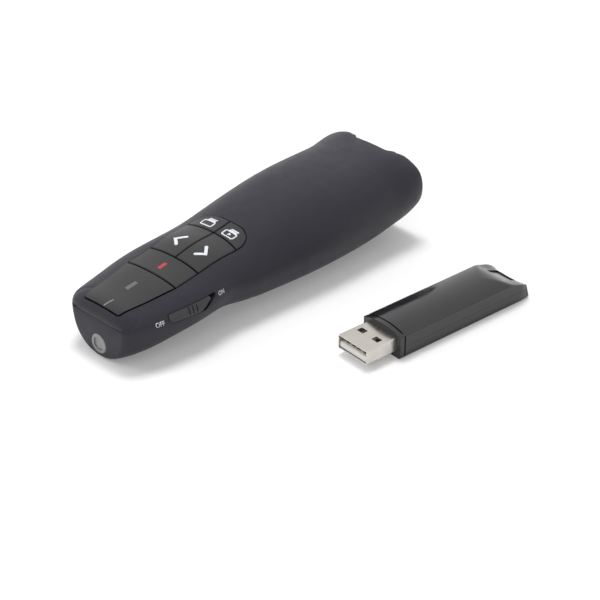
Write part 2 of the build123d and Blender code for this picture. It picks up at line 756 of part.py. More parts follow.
# ------------------------------------------------------------------ shells
def tail_notch():
    """The finger scoop in the tail's upper edge, over the receiver bay's mouth."""
    outer = TAIL_X - 2
    spread = NOTCH_HALF_WIDTH + 2 * (NOTCH_HALF_WIDTH - NOTCH_FLOOR_HALF_WIDTH) / NOTCH_DEPTH
    floor = TAIL_X + NOTCH_DEPTH
    scoop = make_face(Polyline(
        (outer, spread), (floor, NOTCH_FLOOR_HALF_WIDTH),
        (floor, -NOTCH_FLOOR_HALF_WIDTH), (outer, -spread), close=True,
    ))
    scoop = fillet([v for v in scoop.vertices() if abs(v.X - floor) < FIT], NOTCH_ROUND)
    return Pos(0, 0, BAY_FLOOR_Z + RECEIVER_SIDE) * extrude(scoop, HEIGHT)


def bay_half_width():
    """Half the width of the receiver bay."""
    return RECEIVER_WIDTH / 2 + BAY_ROOM


def bay_mouth():
    """The opening in the tail wall that the receiver slides through."""
    mouth = block(
        (TAIL_X - 1, TAIL_X + WALL + 2), (-bay_half_width(), bay_half_width()),
        (BAY_FLOOR_Z, BAY_FLOOR_Z + RECEIVER_HEIGHT + BAY_ROOM),
    )
    return fillet(mouth.edges().filter_by(Axis.X), BAY_MOUTH_ROUND)


def top_shell():
    """The upper housing: keypad opening, panel seat, switch slot, receiver bay mouth and bosses."""
    panel_area = band(OPEN_SEAM, LASER_SEAM) & KEYPAD
    seat_outline = offset(panel_area, PANEL_SEAT_MARGIN, kind=Kind.INTERSECTION)
    cavity = INSIDE - prism(seat_outline, PANEL_FLOOR - PANEL_SEAT_THICKNESS, PANEL_FLOOR)
    for boss in board_bosses():
        cavity -= boss
    for x, y, _ in screw_places():
        cavity -= post(BOSS_RADIUS, x, y, PARTING_Z - 1, HEIGHT + 1)
    shell = OUTSIDE & slab(PARTING_Z, BIG)
    shell -= cavity
    shell -= prism(KEYPAD, PANEL_FLOOR, BIG / 4)
    shell -= prism(band(LASER_SEAM, END_SEAM) & KEYPAD, 0, BIG / 4)
    shell -= board_post(PIPE_RADIUS + FIT, along_board(LED_BACK), 0, 0, BIG / 4)
    for side in (-1, 1):
        y = side * BOARD_SCREW_Y
        shell -= board_post(BOARD_SCREW_RADIUS + FIT / 2, BOARD_SCREW_BACK, y, -1, BOARD_HOLE_REACH)
    shell -= through_flank(switch_outline(0), SWITCH_INNER_Y, WIDTH)
    shell -= tail_notch()
    shell -= bay_mouth()
    for x, y, seat in screw_places():
        hole_top = seat + SCREW_LENGTH + SCREW_TIP_ROOM
        shell -= post(SCREW_RADIUS + FIT / 2, x, y, PARTING_Z - 1, hole_top)
    return shell


def rail_blocks():
    """Blocks along the door opening that carry the door's rails and the tray's feet."""
    ends = (TAIL_X + RAIL_BLOCK_FROM_TAIL, DOOR_START)
    y_low = DOOR_HALF_WIDTH + DOOR_GAP
    return both_sides(block(ends, (y_low, y_low + RAIL_BLOCK_REACH), (-1, PARTING_Z)))


def rail_grooves():
    """The slots in those blocks, open at the tail, that the door's rails run in."""
    y_range = (DOOR_HALF_WIDTH, DOOR_HALF_WIDTH + RAIL_REACH + RAIL_GAP)
    z_range = (RAIL_Z - RAIL_GAP, RAIL_Z + RAIL_THICKNESS + RAIL_GAP)
    return both_sides(block((TAIL_X - 1, DOOR_START - RAIL_END_GAP), y_range, z_range))


def battery_room():
    """The space that the two cells need, with room around them."""
    cell = tube(BATTERY_RADIUS + BATTERY_ROOM, CELL_START, CELL_END, BATTERY_Y, BATTERY_Z)
    return both_sides(cell)


def bottom_shell():
    """The lower housing: nose, finger groove, joining lip, laser cradle, rails and screw seats."""
    cavity = INSIDE & slab(-BIG, PARTING_Z - LIP_ROOT)
    cavity += LIP_INSIDE & slab(PARTING_Z - LIP_ROOT, PARTING_Z + 2 * LIP_HEIGHT)
    cavity -= rail_blocks()
    cavity -= laser_cradle()
    for x, y, _ in screw_places():
        cavity -= post(BOSS_RADIUS + BOSS_SEAT_WALL, x, y, -1, PARTING_Z)
    shell = OUTSIDE & slab(-1, PARTING_Z)
    shell += CLEAR_INSIDE & slab(PARTING_Z, PARTING_Z + LIP_HEIGHT)
    shell -= cavity
    door_y = DOOR_HALF_WIDTH + DOOR_GAP
    shell -= block((TAIL_X - 1, DOOR_START), (-door_y, door_y), (-1, PARTING_Z + LIP_HEIGHT + 1))
    shell -= rail_grooves()
    shell -= battery_room()
    for x, y, seat in screw_places():
        shell -= post(BOSS_RADIUS + BOSS_LIP_ROOM, x, y, PARTING_Z, PARTING_Z + LIP_HEIGHT + 1)
        shell -= post(SCREW_HEAD_RADIUS, x, y, -1, seat)
        shell -= post(SCREW_RADIUS + SCREW_HOLE_ROOM, x, y, 0, PARTING_Z + 1)
    shell -= tube(BEZEL_RADIUS, FRONT_X + 1, FRONT_X - BEZEL_DEPTH, z=LASER_Z)
    shell -= tube(BEZEL_BORE, FRONT_X + 1, FRONT_X - 4, z=LASER_Z)
    return shell


def battery_door():
    """The sliding door under the cells: ribs with rails, a front tongue and a grip."""
    door_x = (TAIL_X - 1, DOOR_START - DOOR_GAP)
    door_y = (-DOOR_HALF_WIDTH, DOOR_HALF_WIDTH)
    rib_x = (TAIL_X + RAIL_FROM_TAIL, DOOR_START - RAIL_SETBACK)
    rib_y = (DOOR_HALF_WIDTH - DOOR_RIB_THICKNESS, DOOR_HALF_WIDTH)
    rail_top = RAIL_Z + RAIL_THICKNESS
    cavity = INSIDE - both_sides(block(rib_x, rib_y, (-1, rail_top)))
    door = (OUTSIDE & block(door_x, door_y, (-1, PARTING_Z - DOOR_GAP))) - cavity
    rail_y = (DOOR_HALF_WIDTH - RAIL_ROOT, DOOR_HALF_WIDTH + RAIL_REACH)
    door += both_sides(block(rib_x, rail_y, (RAIL_Z, rail_top)))
    root = DOOR_START - DOOR_TONGUE_ROOT
    tongue_y = (-DOOR_TONGUE_HALF, DOOR_TONGUE_HALF)
    tongue_z = WALL + DOOR_TONGUE_RISE
    tongue_top = tongue_z + DOOR_TONGUE_THICKNESS
    door += block((root, DOOR_START + DOOR_TONGUE_LENGTH), tongue_y, (tongue_z, tongue_top))
    door += block((root, root + DOOR_TONGUE_STEP), tongue_y, (WALL / 2, tongue_top))
    door -= battery_room()
    for count in range(DOOR_GRIP_COUNT):
        groove = Cylinder(DOOR_GRIP_RADIUS, DOOR_GRIP_LENGTH)
        door -= Pos(root - count * DOOR_GRIP_PITCH, 0, 0) * Rot(90, 0, 0) * groove
    return door


# ------------------------------------------------------------------ battery tray and receiver bay
def battery_tray():
    """The inner frame: cell compartment below, receiver bay and plug well above, board rests ahead."""
    half = DOOR_HALF_WIDTH
    front = CELL_START + TRAY_WALL
    rear = CELL_END - TRAY_WALL
    bay = bay_half_width()
    bay_outer = bay + BAY_WALL
    bay_end = TAIL_X + WALL + TRAY_TAIL_GAP
    floor_z = (BAY_FLOOR_Z - BAY_FLOOR_THICKNESS, BAY_FLOOR_Z)
    wall_low = RAIL_Z + RAIL_THICKNESS + TRAY_WALL_GAP
    tray = block((front, rear), (-half, half), floor_z)
    tray += block((rear, bay_end), (-bay_outer, bay_outer), floor_z)
    tray += both_sides(block((front, rear), (half - TRAY_WALL, half), (wall_low, BAY_FLOOR_Z)))
    feet_x = (CELL_START - TRAY_FOOT_SETBACK[0], CELL_END + TRAY_FOOT_SETBACK[1])
    feet_z = (PARTING_Z, PARTING_Z + TRAY_FOOT_THICKNESS)
    tray += both_sides(block(feet_x, (half - TRAY_WALL, half + TRAY_FOOT_REACH), feet_z))
    tray += block((CELL_START, front), (-half, half), (0, BAY_FLOOR_Z))
    tray += block((CELL_END, rear), (-half, half), (wall_low, BAY_FLOOR_Z))
    rear_half = half - TRAY_WALL - TRAY_REAR_INSET
    tray += block((CELL_END, rear), (-rear_half, rear_half), (TRAY_REAR_LOW, BAY_FLOOR_Z))
    spine_z = (BATTERY_Z + BATTERY_RADIUS - TRAY_SPINE_DEPTH, BAY_FLOOR_Z)
    tray += block((CELL_START, CELL_END), (-TRAY_SPINE_HALF, TRAY_SPINE_HALF), spine_z)
    bay_z = (BAY_FLOOR_Z, BAY_FLOOR_Z + RECEIVER_HEIGHT + BAY_ROOM)
    well_z = (BAY_FLOOR_Z, BAY_FLOOR_Z + WELL_WALL_HEIGHT)
    well_start = TAIL_X + RECEIVER_LENGTH + PLUG_LENGTH + WELL_ROOM
    well_end = TAIL_X + RECEIVER_LENGTH + WELL_STEP
    well_side = PLUG_WIDTH / 2 + BAY_ROOM
    tray += both_sides(block((well_start, bay_end), (bay, bay_outer), bay_z))
    tray += both_sides(block((well_end, well_start), (well_side, bay_outer), well_z))
    tray += block((well_start, well_start + BAY_WALL), (-bay_outer, bay_outer), well_z)
    tray = tray & CLEAR_INSIDE
    tray += board_rests()
    tray -= battery_room()
    tab_x = (CELL_START - CONTACT_THICKNESS - FIT, CELL_START + FIT)
    tab_half = CONTACT_TAB_WIDTH / 2 + CONTACT_TAB_ROOM
    tab_y = (BATTERY_Y - tab_half, BATTERY_Y + tab_half)
    return tray - both_sides(block(tab_x, tab_y, (BAY_FLOOR_Z - 2, BAY_FLOOR_Z + 1)))


def board_rests():
    """Two posts at the tray's front end that rise to the underside of the board."""
    x_range = (CELL_START, CELL_START + TRAY_WALL + REST_LENGTH)
    y_range = (REST_Y - REST_WIDTH / 2, REST_Y + REST_WIDTH / 2)
    posts = both_sides(block(x_range, y_range, (BAY_FLOOR_Z - REST_DEPTH, BIG)))
    return posts & board_block((0, BIG), EVERYWHERE, (-BIG, -BOARD_THICKNESS - FIT))


# ------------------------------------------------------------------ batteries and contacts
def battery(side, nub_forward):
    """One AAA cell: a can with a raised positive nub."""
    y = side * BATTERY_Y
    front_face = CELL_START - CONTACT_THICKNESS
    rear_face = CELL_END + CONTACT_THICKNESS
    if nub_forward:
        nub_end, direction = front_face, 1
    else:
        nub_end, direction = rear_face, -1
    shoulder = nub_end - direction * BATTERY_NUB_LENGTH
    foot = nub_end - direction * BATTERY_LENGTH
    can = tube(BATTERY_RADIUS, shoulder, foot, y, BATTERY_Z)
    can = chamfer(can.edges().filter_by(GeomType.CIRCLE), BATTERY_EDGE)
    return can + tube(BATTERY_NUB_RADIUS, nub_end, shoulder, y, BATTERY_Z)


def spring(side, face_x, direction):
    """A conical contact spring, wound from its plate towards the cell."""
    height = SPRING_LENGTH - SPRING_WIRE
    coil = Helix(height / SPRING_TURNS, height, SPRING_RADIUS, cone_angle=-SPRING_CONE)
    wire = Plane(origin=coil @ 0, z_dir=coil % 0) * Rectangle(SPRING_WIRE, SPRING_WIRE)
    wound = sweep(wire, coil, is_frenet=True)
    foot = (face_x + direction * SPRING_WIRE / 2, side * BATTERY_Y, BATTERY_Z)
    return Location(foot, (0, direction * 90, 0)) * wound


def battery_springs():
    """The two negative contact springs."""
    springs = [
        spring(-1, CELL_START - CONTACT_THICKNESS, -1),
        spring(1, CELL_END + CONTACT_THICKNESS, 1),
    ]
    return separate(springs)


def contact_plate(side, x, direction):
    """A flat contact against the compartment's end wall."""
    y = side * BATTERY_Y
    z_range = (BATTERY_Z - CONTACT_HEIGHT / 2 + CONTACT_LIFT, BATTERY_Z + CONTACT_HEIGHT / 2)
    y_range = (y - CONTACT_HALF_WIDTH, y + CONTACT_HALF_WIDTH)
    return block((x, x + direction * CONTACT_THICKNESS), y_range, z_range)


def terminal_contacts():
    """The two separate front contacts, each with a tab up to the board."""
    plates = []
    board_low = board_height(FRONT_X - CELL_START) - BOARD_THICKNESS / COS_TILT
    tab_x = (CELL_START, CELL_START - CONTACT_THICKNESS)
    tab_z = (BATTERY_Z, board_low - 2 * FIT)
    for side in (-1, 1):
        y = side * BATTERY_Y
        plate = contact_plate(side, CELL_START, -1)
        plate += block(tab_x, (y - CONTACT_TAB_WIDTH / 2, y + CONTACT_TAB_WIDTH / 2), tab_z)
        plates.append(plate)
    return separate(plates)


def bridge_contact():
    """The rear contact that joins both cells in series."""
    plates = contact_plate(1, CELL_END, 1) + contact_plate(-1, CELL_END, 1)
    link_x = (CELL_END, CELL_END + CONTACT_THICKNESS)
    link_z = (BATTERY_Z - CONTACT_BRIDGE, BATTERY_Z + CONTACT_BRIDGE)
    return plates + block(link_x, (-CONTACT_BRIDGE, CONTACT_BRIDGE), link_z)


# ------------------------------------------------------------------ board
def main_board():
    """The circuit board, with holes for its screws."""
    across = (-BOARD_HALF_WIDTH, BOARD_HALF_WIDTH)
    board = board_block((BOARD_START, BOARD_END), across, (-BOARD_THICKNESS, 0))
    corners = board.edges().filter_by(lambda edge: abs(edge.length - BOARD_THICKNESS) < FIT)
    board = chamfer(corners, BOARD_CORNER)
    for side in (-1, 1):
        y = side * BOARD_SCREW_Y
        radius = BOARD_SCREW_RADIUS + BOARD_HOLE_ROOM
        board -= board_post(radius, BOARD_SCREW_BACK, y, -2 * BOARD_THICKNESS, BOARD_THICKNESS)
    return board


def control_chip():
    """The square radio controller under the board."""
    half = CHIP_SIZE / 2
    u = along_board(CHIP_BACK)
    low = -BOARD_THICKNESS - CHIP_HEIGHT
    return board_block((u - half, u + half), (-half, half), (low, -BOARD_THICKNESS))


def crystal():
    """The crystal's metal can beside the controller."""
    u = along_board(CRYSTAL_BACK)
    low = -BOARD_THICKNESS - CRYSTAL_HEIGHT
    along = (u - CRYSTAL_LENGTH / 2, u + CRYSTAL_LENGTH / 2)
    return board_block(along, (-CRYSTAL_WIDTH / 2, CRYSTAL_WIDTH / 2), (low, -BOARD_THICKNESS))


def status_led():
    """The indicator's small surface-mount lamp."""
    u = along_board(LED_BACK)
    along = (u - LED_LENGTH / 2, u + LED_LENGTH / 2)
    return board_block(along, (-LED_WIDTH / 2, LED_WIDTH / 2), (0, LED_HEIGHT))


# ------------------------------------------------------------------ receiver
RECEIVER = Location((from_nose(RECEIVER_BACK), RECEIVER_Y, 0), (0, 0, RECEIVER_TURN))


def receiver_form(inset=0.0):
    """The receiver's solid form, plug end at X=0: crowned top, bulged and sloping rear end."""
    half = RECEIVER_WIDTH / 2 - inset
    side = RECEIVER_SIDE - inset
    top = RECEIVER_HEIGHT - inset
    profile = make_face([
        Polyline((-half, side), (-half, inset), (half, inset), (half, side)),
        ThreePointArc((half, side), (0, top), (-half, side)),
    ])
    profile = fillet(profile.vertices().group_by(Axis.Y)[0], RECEIVER_CORNER)
    end = -RECEIVER_LENGTH + inset
    bar = extrude(Plane.YZ * profile, end)
    corner = end + RECEIVER_END_BULGE
    wide = half + 1
    plan = make_face([
        Polyline((corner, wide), (1, wide), (1, -wide), (corner, -wide)),
        ThreePointArc((corner, -wide), (end, 0), (corner, wide)),
    ])
    slope_start = end + RECEIVER_END_SLOPE
    slope_end = RECEIVER_END_HEIGHT - inset
    high = RECEIVER_HEIGHT + 1
    elevation = make_face([
        Polyline((slope_start, high), (1, high), (1, -1), (end, -1), (end, slope_end)),
        Line((slope_start, high), (slope_start, top)),
        Spline((slope_start, top), (end, slope_end), tangents=[(-1, 0), (-0.45, -1)]),
    ])
    return bar & extrude(plan, HEIGHT) & Pos(0, BIG / 2, 0) * extrude(Plane.XZ * elevation, BIG)


def plug_box(low, high, room, x_range=(-PLUG_BURIED, PLUG_LENGTH)):
    """A rounded bar along the plug, grown by room."""
    x0, x1 = x_range
    width = PLUG_WIDTH + 2 * room
    height = high - low + 2 * room
    middle = (low + high) / 2
    outline = RectangleRounded(width, height, PLUG_ROUND + room)
    return Pos(x0, 0, middle) * extrude(Plane.YZ * outline, x1 - x0)


PLUG_TOP = PLUG_BOTTOM + PLUG_HEIGHT
RECEIVER_OUTSIDE = receiver_form()
BEHIND_COLLAR = block((-BIG, -COLLAR_LENGTH), EVERYWHERE, (0, BIG))
RECEIVER_INSIDE = receiver_form(RECEIVER_WALL) & BEHIND_COLLAR


def receiver_case():
    """The receiver's hollow case, with its collar groove and plug opening."""
    case = RECEIVER_OUTSIDE - RECEIVER_INSIDE
    groove_x = (-COLLAR_LENGTH - COLLAR_GROOVE, -COLLAR_LENGTH + COLLAR_GROOVE)
    half = RECEIVER_WIDTH / 2 - COLLAR_GROOVE
    core = block(EVERYWHERE, (-half, half), (COLLAR_GROOVE, RECEIVER_SIDE + COLLAR_GROOVE))
    case -= block(groove_x, EVERYWHERE, (-1, BIG)) & (RECEIVER_OUTSIDE - core)
    return case - plug_box(PLUG_BOTTOM, PLUG_TOP, FIT)


def thumb_recess():
    """The scoop in the receiver's rear end that a thumb pulls it out by."""
    front = -RECEIVER_LENGTH + THUMB_LENGTH
    rear = -RECEIVER_LENGTH + THUMB_LIP
    outline = make_face(Polyline(
        (front, THUMB_FLOOR + THUMB_RISE), (front, HEIGHT),
        (rear, HEIGHT), (rear, THUMB_FLOOR - THUMB_FALL), close=True,
    ))
    return Pos(0, THUMB_WIDTH / 2, 0) * extrude(Plane.XZ * outline, THUMB_WIDTH)


def receiver_cover():
    """The glossy upper half of the receiver."""
    floor_x = (-RECEIVER_LENGTH, -RECEIVER_LENGTH + THUMB_LENGTH + 1)
    floor_y = (-THUMB_WIDTH / 2 - THUMB_SKIN, THUMB_WIDTH / 2 + THUMB_SKIN)
    seam = RECEIVER_SEAM_Z + FIT
    floor = block(floor_x, floor_y, (seam, RECEIVER_HEIGHT)) & RECEIVER_OUTSIDE
    half = receiver_case() & slab(seam, BIG)
    return RECEIVER * ((half + floor) - thumb_recess())


def receiver_base():
    """The lower half of the receiver."""
    half = receiver_case() & slab(-1, RECEIVER_SEAM_Z)
    rib_y = (RECEIVER_RIB_Y, RECEIVER_WIDTH / 2 - RECEIVER_WALL)
    for back in RECEIVER_RIBS:
        rib = block((-back - RECEIVER_WALL, -back), rib_y, (RECEIVER_WALL, RECEIVER_BOARD_Z))
        half += both_sides(rib)
    return RECEIVER * (half - thumb_recess())


def usb_plug_shell():
    """The plug's folded steel sleeve with its four latch holes."""
    sleeve = plug_box(PLUG_BOTTOM, PLUG_TOP, 0)
    sleeve -= plug_box(PLUG_BOTTOM, PLUG_TOP, -PLUG_SKIN, (-PLUG_BURIED - 1, PLUG_LENGTH + 1))
    x = PLUG_LENGTH - PLUG_HOLE_BACK
    hole_x = (x - PLUG_HOLE / 2, x + PLUG_HOLE / 2)
    hole_y = ((PLUG_HOLE_PITCH - PLUG_HOLE_LENGTH) / 2, (PLUG_HOLE_PITCH + PLUG_HOLE_LENGTH) / 2)
    return RECEIVER * (sleeve - both_sides(block(hole_x, hole_y, (0, HEIGHT))))


def usb_tongue():
    """The plug's insulating tongue, thicker where it is rooted."""
    low = PLUG_BOTTOM + PLUG_SKIN + FIT / 2
    half = PLUG_WIDTH / 2 - PLUG_SKIN - TONGUE_SIDE_GAP
    tip = PLUG_LENGTH - TONGUE_SETBACK
    root_top = PLUG_TOP - PLUG_SKIN - FIT / 2
    tongue = block((-PLUG_BURIED, tip), (-half, half), (low, low + TONGUE_HEIGHT))
    tongue += block((-PLUG_BURIED, -PLUG_BURIED + TONGUE_ROOT), (-half, half), (low, root_top))
    return RECEIVER * chamfer(tongue.edges().filter_by(Axis.Y).group_by(Axis.X)[-1], TONGUE_SETBACK)


def usb_contacts():
    """Four flat contacts on top of the tongue."""
    low = PLUG_BOTTOM + PLUG_SKIN + FIT / 2 + TONGUE_HEIGHT
    x_range = (-PLUG_BURIED + TONGUE_ROOT + FIT, PLUG_LENGTH - PAD_SETBACK)
    half = PAD_WIDTH / 2
    pads = [block(x_range, (y - half, y + half), (low, low + PAD_THICKNESS)) for y in CONTACT_PADS_Y]
    return RECEIVER * separate(pads)


def receiver_board():
    """The receiver's circuit board, behind the plug."""
    half = RECEIVER_WIDTH / 2 - RECEIVER_WALL - BAY_ROOM
    low = RECEIVER_BOARD_Z + FIT
    z_range = (low, low + RECEIVER_BOARD_THICKNESS)
    return RECEIVER * block((-RECEIVER_BOARD_END, -PLUG_BURIED - FIT), (-half, half), z_range)


def receiver_chip():
    """The radio chip on the receiver's board."""
    half = RECEIVER_CHIP_SIZE / 2
    low = RECEIVER_BOARD_Z + FIT + RECEIVER_BOARD_THICKNESS
    x_range = (-RECEIVER_CHIP_BACK - half, -RECEIVER_CHIP_BACK + half)
    return RECEIVER * block(x_range, (-half, half), (low, low + RECEIVER_CHIP_HEIGHT))


# ------------------------------------------------------------------ write every node
def nodes():
    """Each node's name and shape."""
    yield "top_shell", top_shell()
    yield "bottom_shell", bottom_shell()
    yield "battery_door", battery_door()
    yield "battery_tray", battery_tray()
    yield "indicator_panel", indicator_panel()
    yield "light_pipe", light_pipe()
    yield "status_led", status_led()
    for name, (sector, back, y) in KEYS.items():
        yield name, key(sector)
        yield name + "_stem", stem(back, y)
    yield "tact_switches", tact_bodies()
    yield "power_slider", power_slider()
    yield "slide_switch_body", slide_switch_body()
    yield "slide_switch_lever", slide_switch_lever()
    yield "main_board", main_board()
    yield "control_chip", control_chip()
    yield "crystal", crystal()
    yield "laser_bezel", laser_bezel()
    yield "laser_window", laser_window()
    yield "laser_module", laser_module()
    yield "laser_leads", laser_leads()
    yield "battery_left", battery(1, True)
    yield "battery_right", battery(-1, False)
    yield "battery_springs", battery_springs()
    yield "terminal_contacts", terminal_contacts()
    yield "bridge_contact", bridge_contact()
    yield "housing_screws", housing_screws()
    yield "board_screws", board_screws()
    yield "receiver_base", receiver_base()
    yield "receiver_cover", receiver_cover()
    yield "usb_plug_shell", usb_plug_shell()
    yield "usb_tongue", usb_tongue()
    yield "usb_contacts", usb_contacts()
    yield "receiver_board", receiver_board()
    yield "receiver_chip", receiver_chip()


os.makedirs("parts", exist_ok=True)
for node_name, shape in nodes():
    export_step(shape, f"parts/{node_name}.step")
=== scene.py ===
import json
import math

import bmesh
import bpy
from mathutils import Matrix, Vector
from mathutils.bvhtree import BVHTree

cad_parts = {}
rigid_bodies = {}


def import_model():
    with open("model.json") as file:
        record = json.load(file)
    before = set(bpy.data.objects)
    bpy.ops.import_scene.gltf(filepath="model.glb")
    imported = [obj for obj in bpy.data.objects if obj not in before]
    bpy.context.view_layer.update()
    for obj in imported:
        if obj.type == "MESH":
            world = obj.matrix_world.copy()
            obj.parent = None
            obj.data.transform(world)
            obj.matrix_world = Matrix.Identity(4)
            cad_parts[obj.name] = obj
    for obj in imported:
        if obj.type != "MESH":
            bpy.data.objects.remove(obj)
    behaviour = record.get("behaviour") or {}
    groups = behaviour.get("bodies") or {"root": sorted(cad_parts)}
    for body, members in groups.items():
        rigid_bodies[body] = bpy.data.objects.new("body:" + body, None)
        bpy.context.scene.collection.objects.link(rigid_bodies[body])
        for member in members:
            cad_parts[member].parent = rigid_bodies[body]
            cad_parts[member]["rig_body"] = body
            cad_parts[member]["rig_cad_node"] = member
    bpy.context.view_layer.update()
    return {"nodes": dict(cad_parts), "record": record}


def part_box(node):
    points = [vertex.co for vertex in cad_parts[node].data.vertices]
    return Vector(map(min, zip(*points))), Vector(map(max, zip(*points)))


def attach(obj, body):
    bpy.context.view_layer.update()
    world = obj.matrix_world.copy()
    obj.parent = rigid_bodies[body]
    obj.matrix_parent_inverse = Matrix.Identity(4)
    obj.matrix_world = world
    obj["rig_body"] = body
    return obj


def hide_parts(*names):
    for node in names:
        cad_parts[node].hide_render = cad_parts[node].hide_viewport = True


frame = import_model()

bl_info = {
    "name": "Presentation clicker finish",
    "version": (1, 0, 0),
    "blender": (4, 5, 0),
    "location": "View3D > Sidebar > Clicker",
    "description": "Surfaces, printed marks and studio for a hand-held presentation clicker",
    "category": "Object",
}

MM = 0.001
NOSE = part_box("top_shell")[1].x
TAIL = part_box("top_shell")[0].x
WELD = 0.002 * MM
SMOOTH_ANGLE = math.radians(32)
HOUSING = ("top_shell", "bottom_shell", "battery_door")

# Places on the keypad, in millimetres: back from the nose, and towards the user's left.
ARROW = ((33.3, 3.6), (35.4, 6.3), (38.2, 3.8))
LASER_DASH = ((23.0, 0.1), (26.0, 0.1))
PANEL_LINE = ((1.8, 0.9), (5.2, 1.3))
ICON_SLIDESHOW = (46.7, 4.5)
ICON_BLANK = (47.0, -4.7)
ICON_FRAME = ((-0.85, -2.4), (0.65, -2.4), (1.0, -2.05), (1.0, 1.55), (0.65, 1.9),
              (-0.85, 1.9), (-1.2, 1.55), (-1.2, -2.05))
ICON_SHEETS = (((1.45, -1.6), (1.45, 1.5)), ((1.98, -1.3), (1.98, 1.7)))
ICON_PLAY = (-0.1, -0.25)

# Sizes of the marks, in metres, and how finely they are divided to follow a curved surface.
DASH_WIDTH = 1.25 * MM
PANEL_LINE_WIDTH = 0.45 * MM
PLAY_RADIUS = 0.72 * MM
PLAY_ROUNDING = 0.12 * MM
STROKE_ROUNDING = 0.42
MARK_CUTS = 6
MARK_START = 40.0 * MM

# The lettering beside the switch: the word, how far back from the nose, its height and its length.
LETTERING = (("OFF", 9.5, 13.4, 2.8), ("ON", 31.2, 15.0, 2.3))
LETTER_START = 30 * MM
LETTER_WEIGHT = 0.006

# The receiver: its plug end, the way it points, and the slope worn into its rear end.
RECEIVER_ROOT = Vector((17.4, 53.1, 0.0)) * MM
RECEIVER_TURN = math.radians(-5.4)
RECEIVER_SEAM = 3.6 * MM
RECEIVER_HALF = 7.7 * MM
SLOPE_START = -41.0 * MM
SLOPE_SOFT = 2.5 * MM
SLOPE_FALL = 0.442
END_X = -50.5 * MM
END_BULGE = 1.5 * MM

# The studio: lamps by name, place, size and power, all aimed at the origin.
LAMPS = (
    ("key_lamp", (-0.16, -0.18, 1.15), 0.42, 9.0),
    ("fill_lamp", (0.75, 0.55, 0.80), 0.9, 2.0),
    ("edge_lamp", (0.62, -0.72, 0.72), 0.45, 3.0),
    ("back_lamp", (-0.73, -0.88, 0.58), 0.45, 1.15),
)
SENSOR_WIDTH = 36.0
FLOOR_SIZE = 6.0
FLOOR_GLOW = 0.19
SHOWN_RAYS = ("Is Camera Ray", "Is Glossy Ray", "Is Transmission Ray")


def from_nose(distance):
    """X of a place that many millimetres back from the nose."""
    return NOSE - distance * MM


def spot(back, left):
    """A place on the keypad seen from above."""
    return Vector((from_nose(back), left * MM, 0.0))


def ease(value):
    """A smooth step from 0 to 1."""
    value = min(1.0, max(0.0, value))
    return value * value * (3 - 2 * value)


# ------------------------------------------------------------------ sizes and colours a user may change
class ClickerColours(bpy.types.PropertyGroup):
    """Base colours of the clicker's finishes."""

    coat: bpy.props.FloatVectorProperty(
        name="Soft coat", description="Rubbery coat of the handset", subtype="COLOR",
        default=(0.0155, 0.0138, 0.0225),
    )
    gloss: bpy.props.FloatVectorProperty(
        name="Gloss black", description="Polished keys and receiver", subtype="COLOR",
        default=(0.011, 0.011, 0.013),
    )
    slider: bpy.props.FloatVectorProperty(
        name="Slider", description="Bare plastic of the power slider", subtype="COLOR",
        default=(0.030, 0.0305, 0.033),
    )
    white_ink: bpy.props.FloatVectorProperty(
        name="White ink", description="Printed symbols and lettering", subtype="COLOR",
        default=(0.72, 0.74, 0.80),
    )
    red_ink: bpy.props.FloatVectorProperty(
        name="Red ink", description="Dash on the laser key", subtype="COLOR",
        default=(0.44, 0.033, 0.045),
    )
    grey_ink: bpy.props.FloatVectorProperty(
        name="Grey ink", description="Faint line at the front of the panel", subtype="COLOR",
        default=(0.22, 0.22, 0.225),
    )
    nickel: bpy.props.FloatVectorProperty(
        name="Nickel", description="Plating of the plug", subtype="COLOR",
        default=(0.62, 0.59, 0.545),
    )


class ClickerMarks(bpy.types.PropertyGroup):
    """Sizes of the printed marks."""

    stroke: bpy.props.FloatProperty(
        name="Arrow stroke", description="Width of the arrows' strokes",
        default=0.95 * MM, min=0.1 * MM, unit="LENGTH",
    )
    icon_stroke: bpy.props.FloatProperty(
        name="Icon stroke", description="Width of the small symbols' lines",
        default=0.42 * MM, min=0.1 * MM, unit="LENGTH",
    )
    letter_height: bpy.props.FloatProperty(
        name="Letter height", description="Height of ON and OFF",
        default=1.25 * MM, min=0.5 * MM, unit="LENGTH",
    )
    ink: bpy.props.FloatProperty(
        name="Ink thickness", description="How far the print stands off its surface",
        default=0.03 * MM, min=0.005 * MM, unit="LENGTH",
    )


class ClickerStudio(bpy.types.PropertyGroup):
    """The camera, the floor and the light."""

    camera: bpy.props.FloatVectorProperty(
        name="Camera", description="Where the camera stands", subtype="TRANSLATION", unit="LENGTH",
        default=(0.3696, 0.3670, 0.3072),
    )
    aim: bpy.props.FloatVectorProperty(
        name="Aim", description="The point that the camera looks at", subtype="TRANSLATION",
        unit="LENGTH", default=(0.0150, 0.01855, 0.0),
    )
    lens: bpy.props.FloatProperty(
        name="Lens", description="Focal length in millimetres", default=120.0, min=20.0,
    )
    floor: bpy.props.FloatVectorProperty(
        name="Floor", description="Colour of the floor", subtype="COLOR", default=(0.80, 0.80, 0.80),
    )
    surround: bpy.props.FloatProperty(
        name="Surround", description="Level of the light from all round", default=0.42, min=0.0,
    )


# ------------------------------------------------------------------ materials
def add_node(tree, kind, inputs=None, **settings):
    """A new node with its settings and unlinked inputs filled in."""
    node = tree.nodes.new(kind)
    for name, value in settings.items():
        setattr(node, name, value)
    for name, value in (inputs or {}).items():
        node.inputs[name].default_value = value
    return node


def shade(colour, factor):
    """A colour made lighter or darker, with its alpha."""
    return tuple(min(1.0, part * factor) for part in colour[:3]) + (1.0,)


